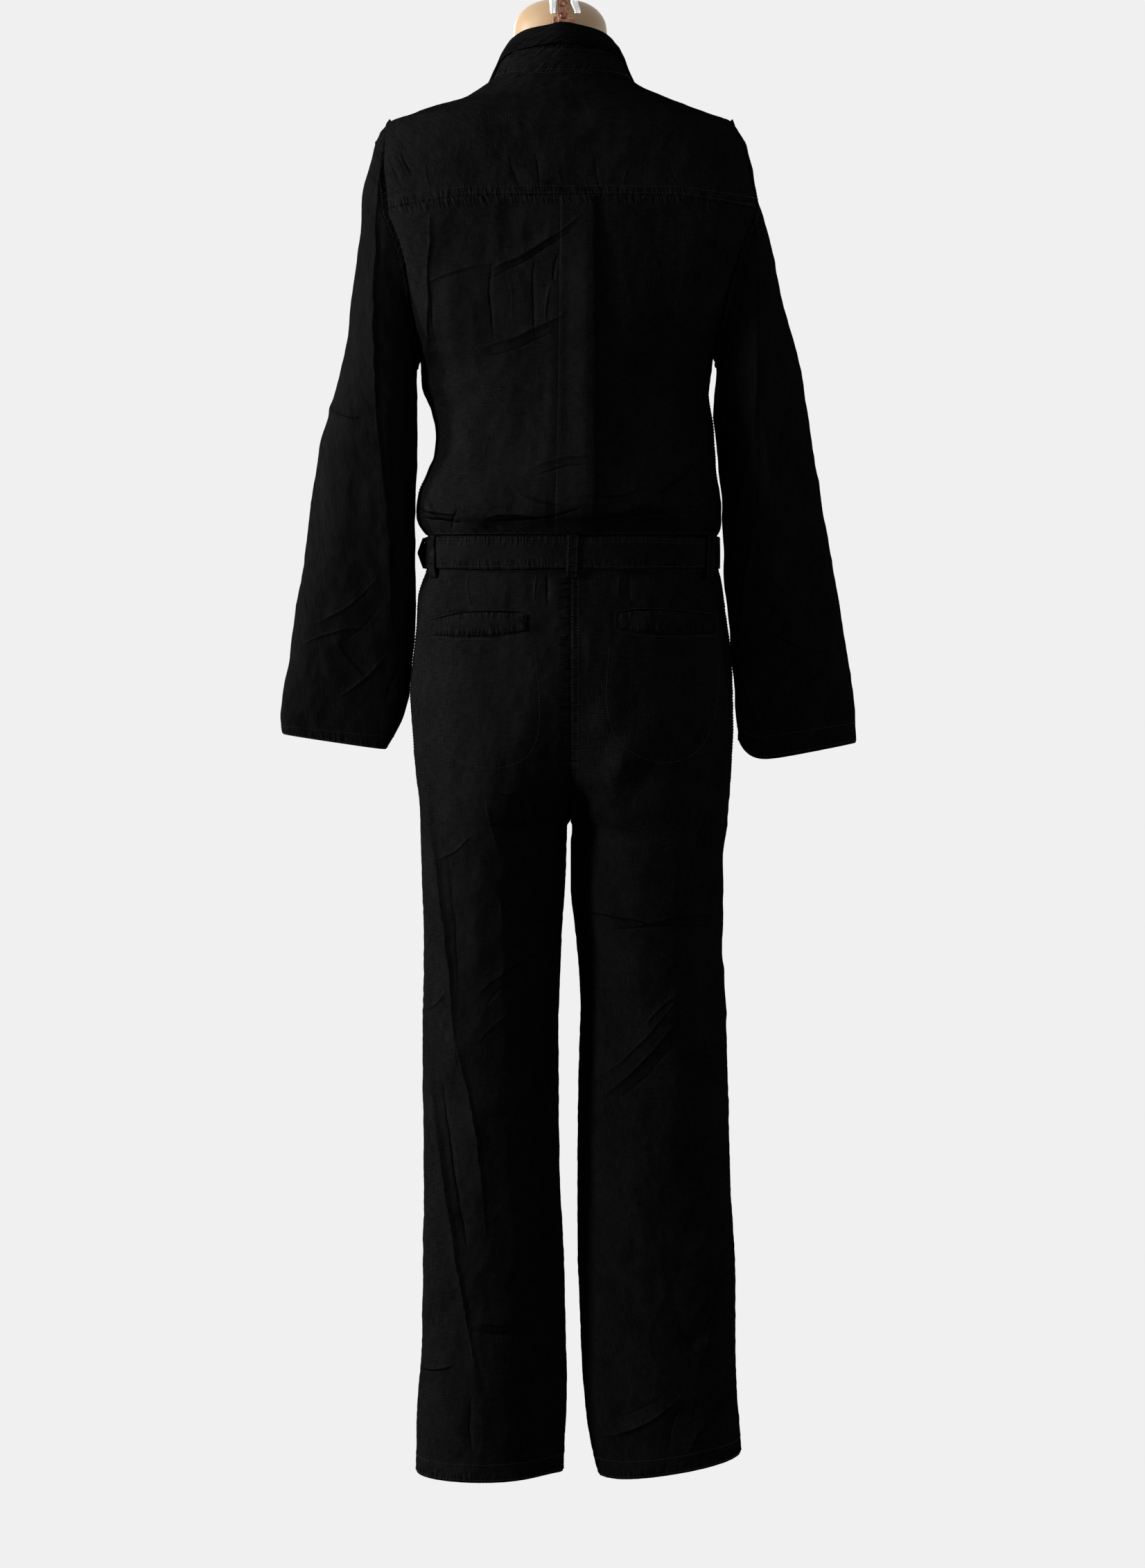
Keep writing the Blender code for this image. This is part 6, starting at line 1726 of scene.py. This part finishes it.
def add_studio():
    """A pale floor that turns up into a wall all round, and seven lamps, the strongest two on the wearer's left."""
    floor, reach, curve = -1.72, 6.0, 1.4
    turn = np.linspace(0, math.pi / 2, 12)
    profile = [(0.02, floor), (reach - curve, floor)]
    profile += [(reach - curve + curve * math.sin(t), floor + curve - curve * math.cos(t)) for t in turn[1:]]
    profile += [(reach, 6.0), (0.02, 9.0)]
    around = np.linspace(0, 2 * math.pi, 64, endpoint=False)
    points = [(r * math.cos(a), r * math.sin(a), z) for r, z in profile for a in around]
    mesh = bpy.data.meshes.new("studio_paper")
    mesh.from_pydata(points, [], ring_faces(len(profile), len(around)))
    mesh.materials.append(MATERIALS["paper"])
    mesh.shade_smooth()
    paper = bpy.data.objects.new("studio_paper", mesh)
    paper.visible_diffuse = False
    paper.visible_shadow = False
    bpy.context.scene.collection.objects.link(paper)
    paper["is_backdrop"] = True
    lamps = (
        ("key", (2.95, 1.3, 0.1), 0.6, 50.0),
        ("accent", (3.3, 0.12, 0.35), 0.6, 78.0),
        ("high", (2.3, 1.3, 1.8), 0.8, 11.0),
        ("camera_side", (-0.4, 3.74, -0.09), 0.8, 2.5),
        ("front", (1.1, -3.5, 0.4), 1.2, 40.0),
        ("fill", (-2.11, 3.01, 0.23), 1.0, 8.0),
        ("rim", (-3.6, -0.64, 0.23), 0.8, 10.0),
    )
    for name, place, size, watts in lamps:
        lamp = bpy.data.lights.new(name, "AREA")
        lamp.shape = "DISK"
        lamp.size = size
        lamp.energy = watts
        holder = bpy.data.objects.new(name, lamp)
        holder.visible_camera = False
        holder.location = place
        aim = Vector((0, 0, -0.75)) - Vector(place)
        holder.rotation_euler = aim.to_track_quat("-Z", "Y").to_euler()
        bpy.context.scene.collection.objects.link(holder)
    world = bpy.data.worlds.new("studio")
    world.use_nodes = True
    world.node_tree.nodes["Background"].inputs["Color"].default_value = linear("#F0F0F0")
    world.node_tree.nodes["Background"].inputs["Strength"].default_value = 0.08
    bpy.context.scene.world = world
    bpy.context.scene.view_settings.view_transform = "Standard"


def add_camera():
    camera = bpy.data.cameras.new("camera")
    camera.sensor_fit = "VERTICAL"
    camera.sensor_height = 36.0
    camera.lens = 78.2
    camera.shift_x = 0.0013
    camera.shift_y = -0.142
    holder = bpy.data.objects.new("camera", camera)
    holder.location = (-0.007, 3.5, -0.605)
    holder.rotation_euler = (math.pi / 2, 0, math.pi)
    bpy.context.scene.collection.objects.link(holder)
    bpy.context.scene.camera = holder


def main():
    twill_material()
    other_materials()
    add_yoke()
    add_back_panel()
    add_front("front_left", 1, 31)
    add_front("front_right", -1, 37)
    add_sleeve("sleeve_left", 1, SLEEVE_LEFT, SLEEVE_CREASES_LEFT, 43)
    add_sleeve("sleeve_right", -1, SLEEVE_RIGHT, SLEEVE_CREASES_RIGHT, 47)
    mirrored = [(-x0, z0 - 9, -x1, z1 + 4, -bow, *rest) for x0, z0, x1, z1, bow, *rest in FRONT_LEG_CREASES]
    add_trouser_panel("trouser_back_left", 1, True, LEG_LEFT, LEFT_HEM, SEAT_CREASES_LEFT, 0.0, 51)
    add_trouser_panel("trouser_back_right", -1, True, LEG_RIGHT, RIGHT_HEM, SEAT_CREASES_RIGHT, RIGHT_HEM_SLANT, 53)
    add_trouser_panel("trouser_front_left", 1, False, LEG_LEFT, LEFT_HEM, FRONT_LEG_CREASES, 0.0, 55)
    add_trouser_panel("trouser_front_right", -1, False, LEG_RIGHT, RIGHT_HEM, mirrored, RIGHT_HEM_SLANT, 57)
    add_collar()
    add_belt()
    add_belt_loops()
    add_patch("back_welt_left", "trouser_back_left", *WELT_LEFT)
    add_patch("back_welt_right", "trouser_back_right", *WELT_RIGHT)
    add_placket("front_placket", *FRONT_PLACKET)
    add_placket("fly_placket", *FLY_PLACKET)
    sew_bodice()
    sew_collar()
    sew_trousers()
    sew_belt()
    add_buttons()
    add_buckle()
    add_form()
    add_bracket()
    declare_cloth()
    add_studio()
    add_camera()


main()

plain = [[[round(float(v), 6) for v in corner] for corner in box] for box in (BOX_BEFORE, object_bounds())]
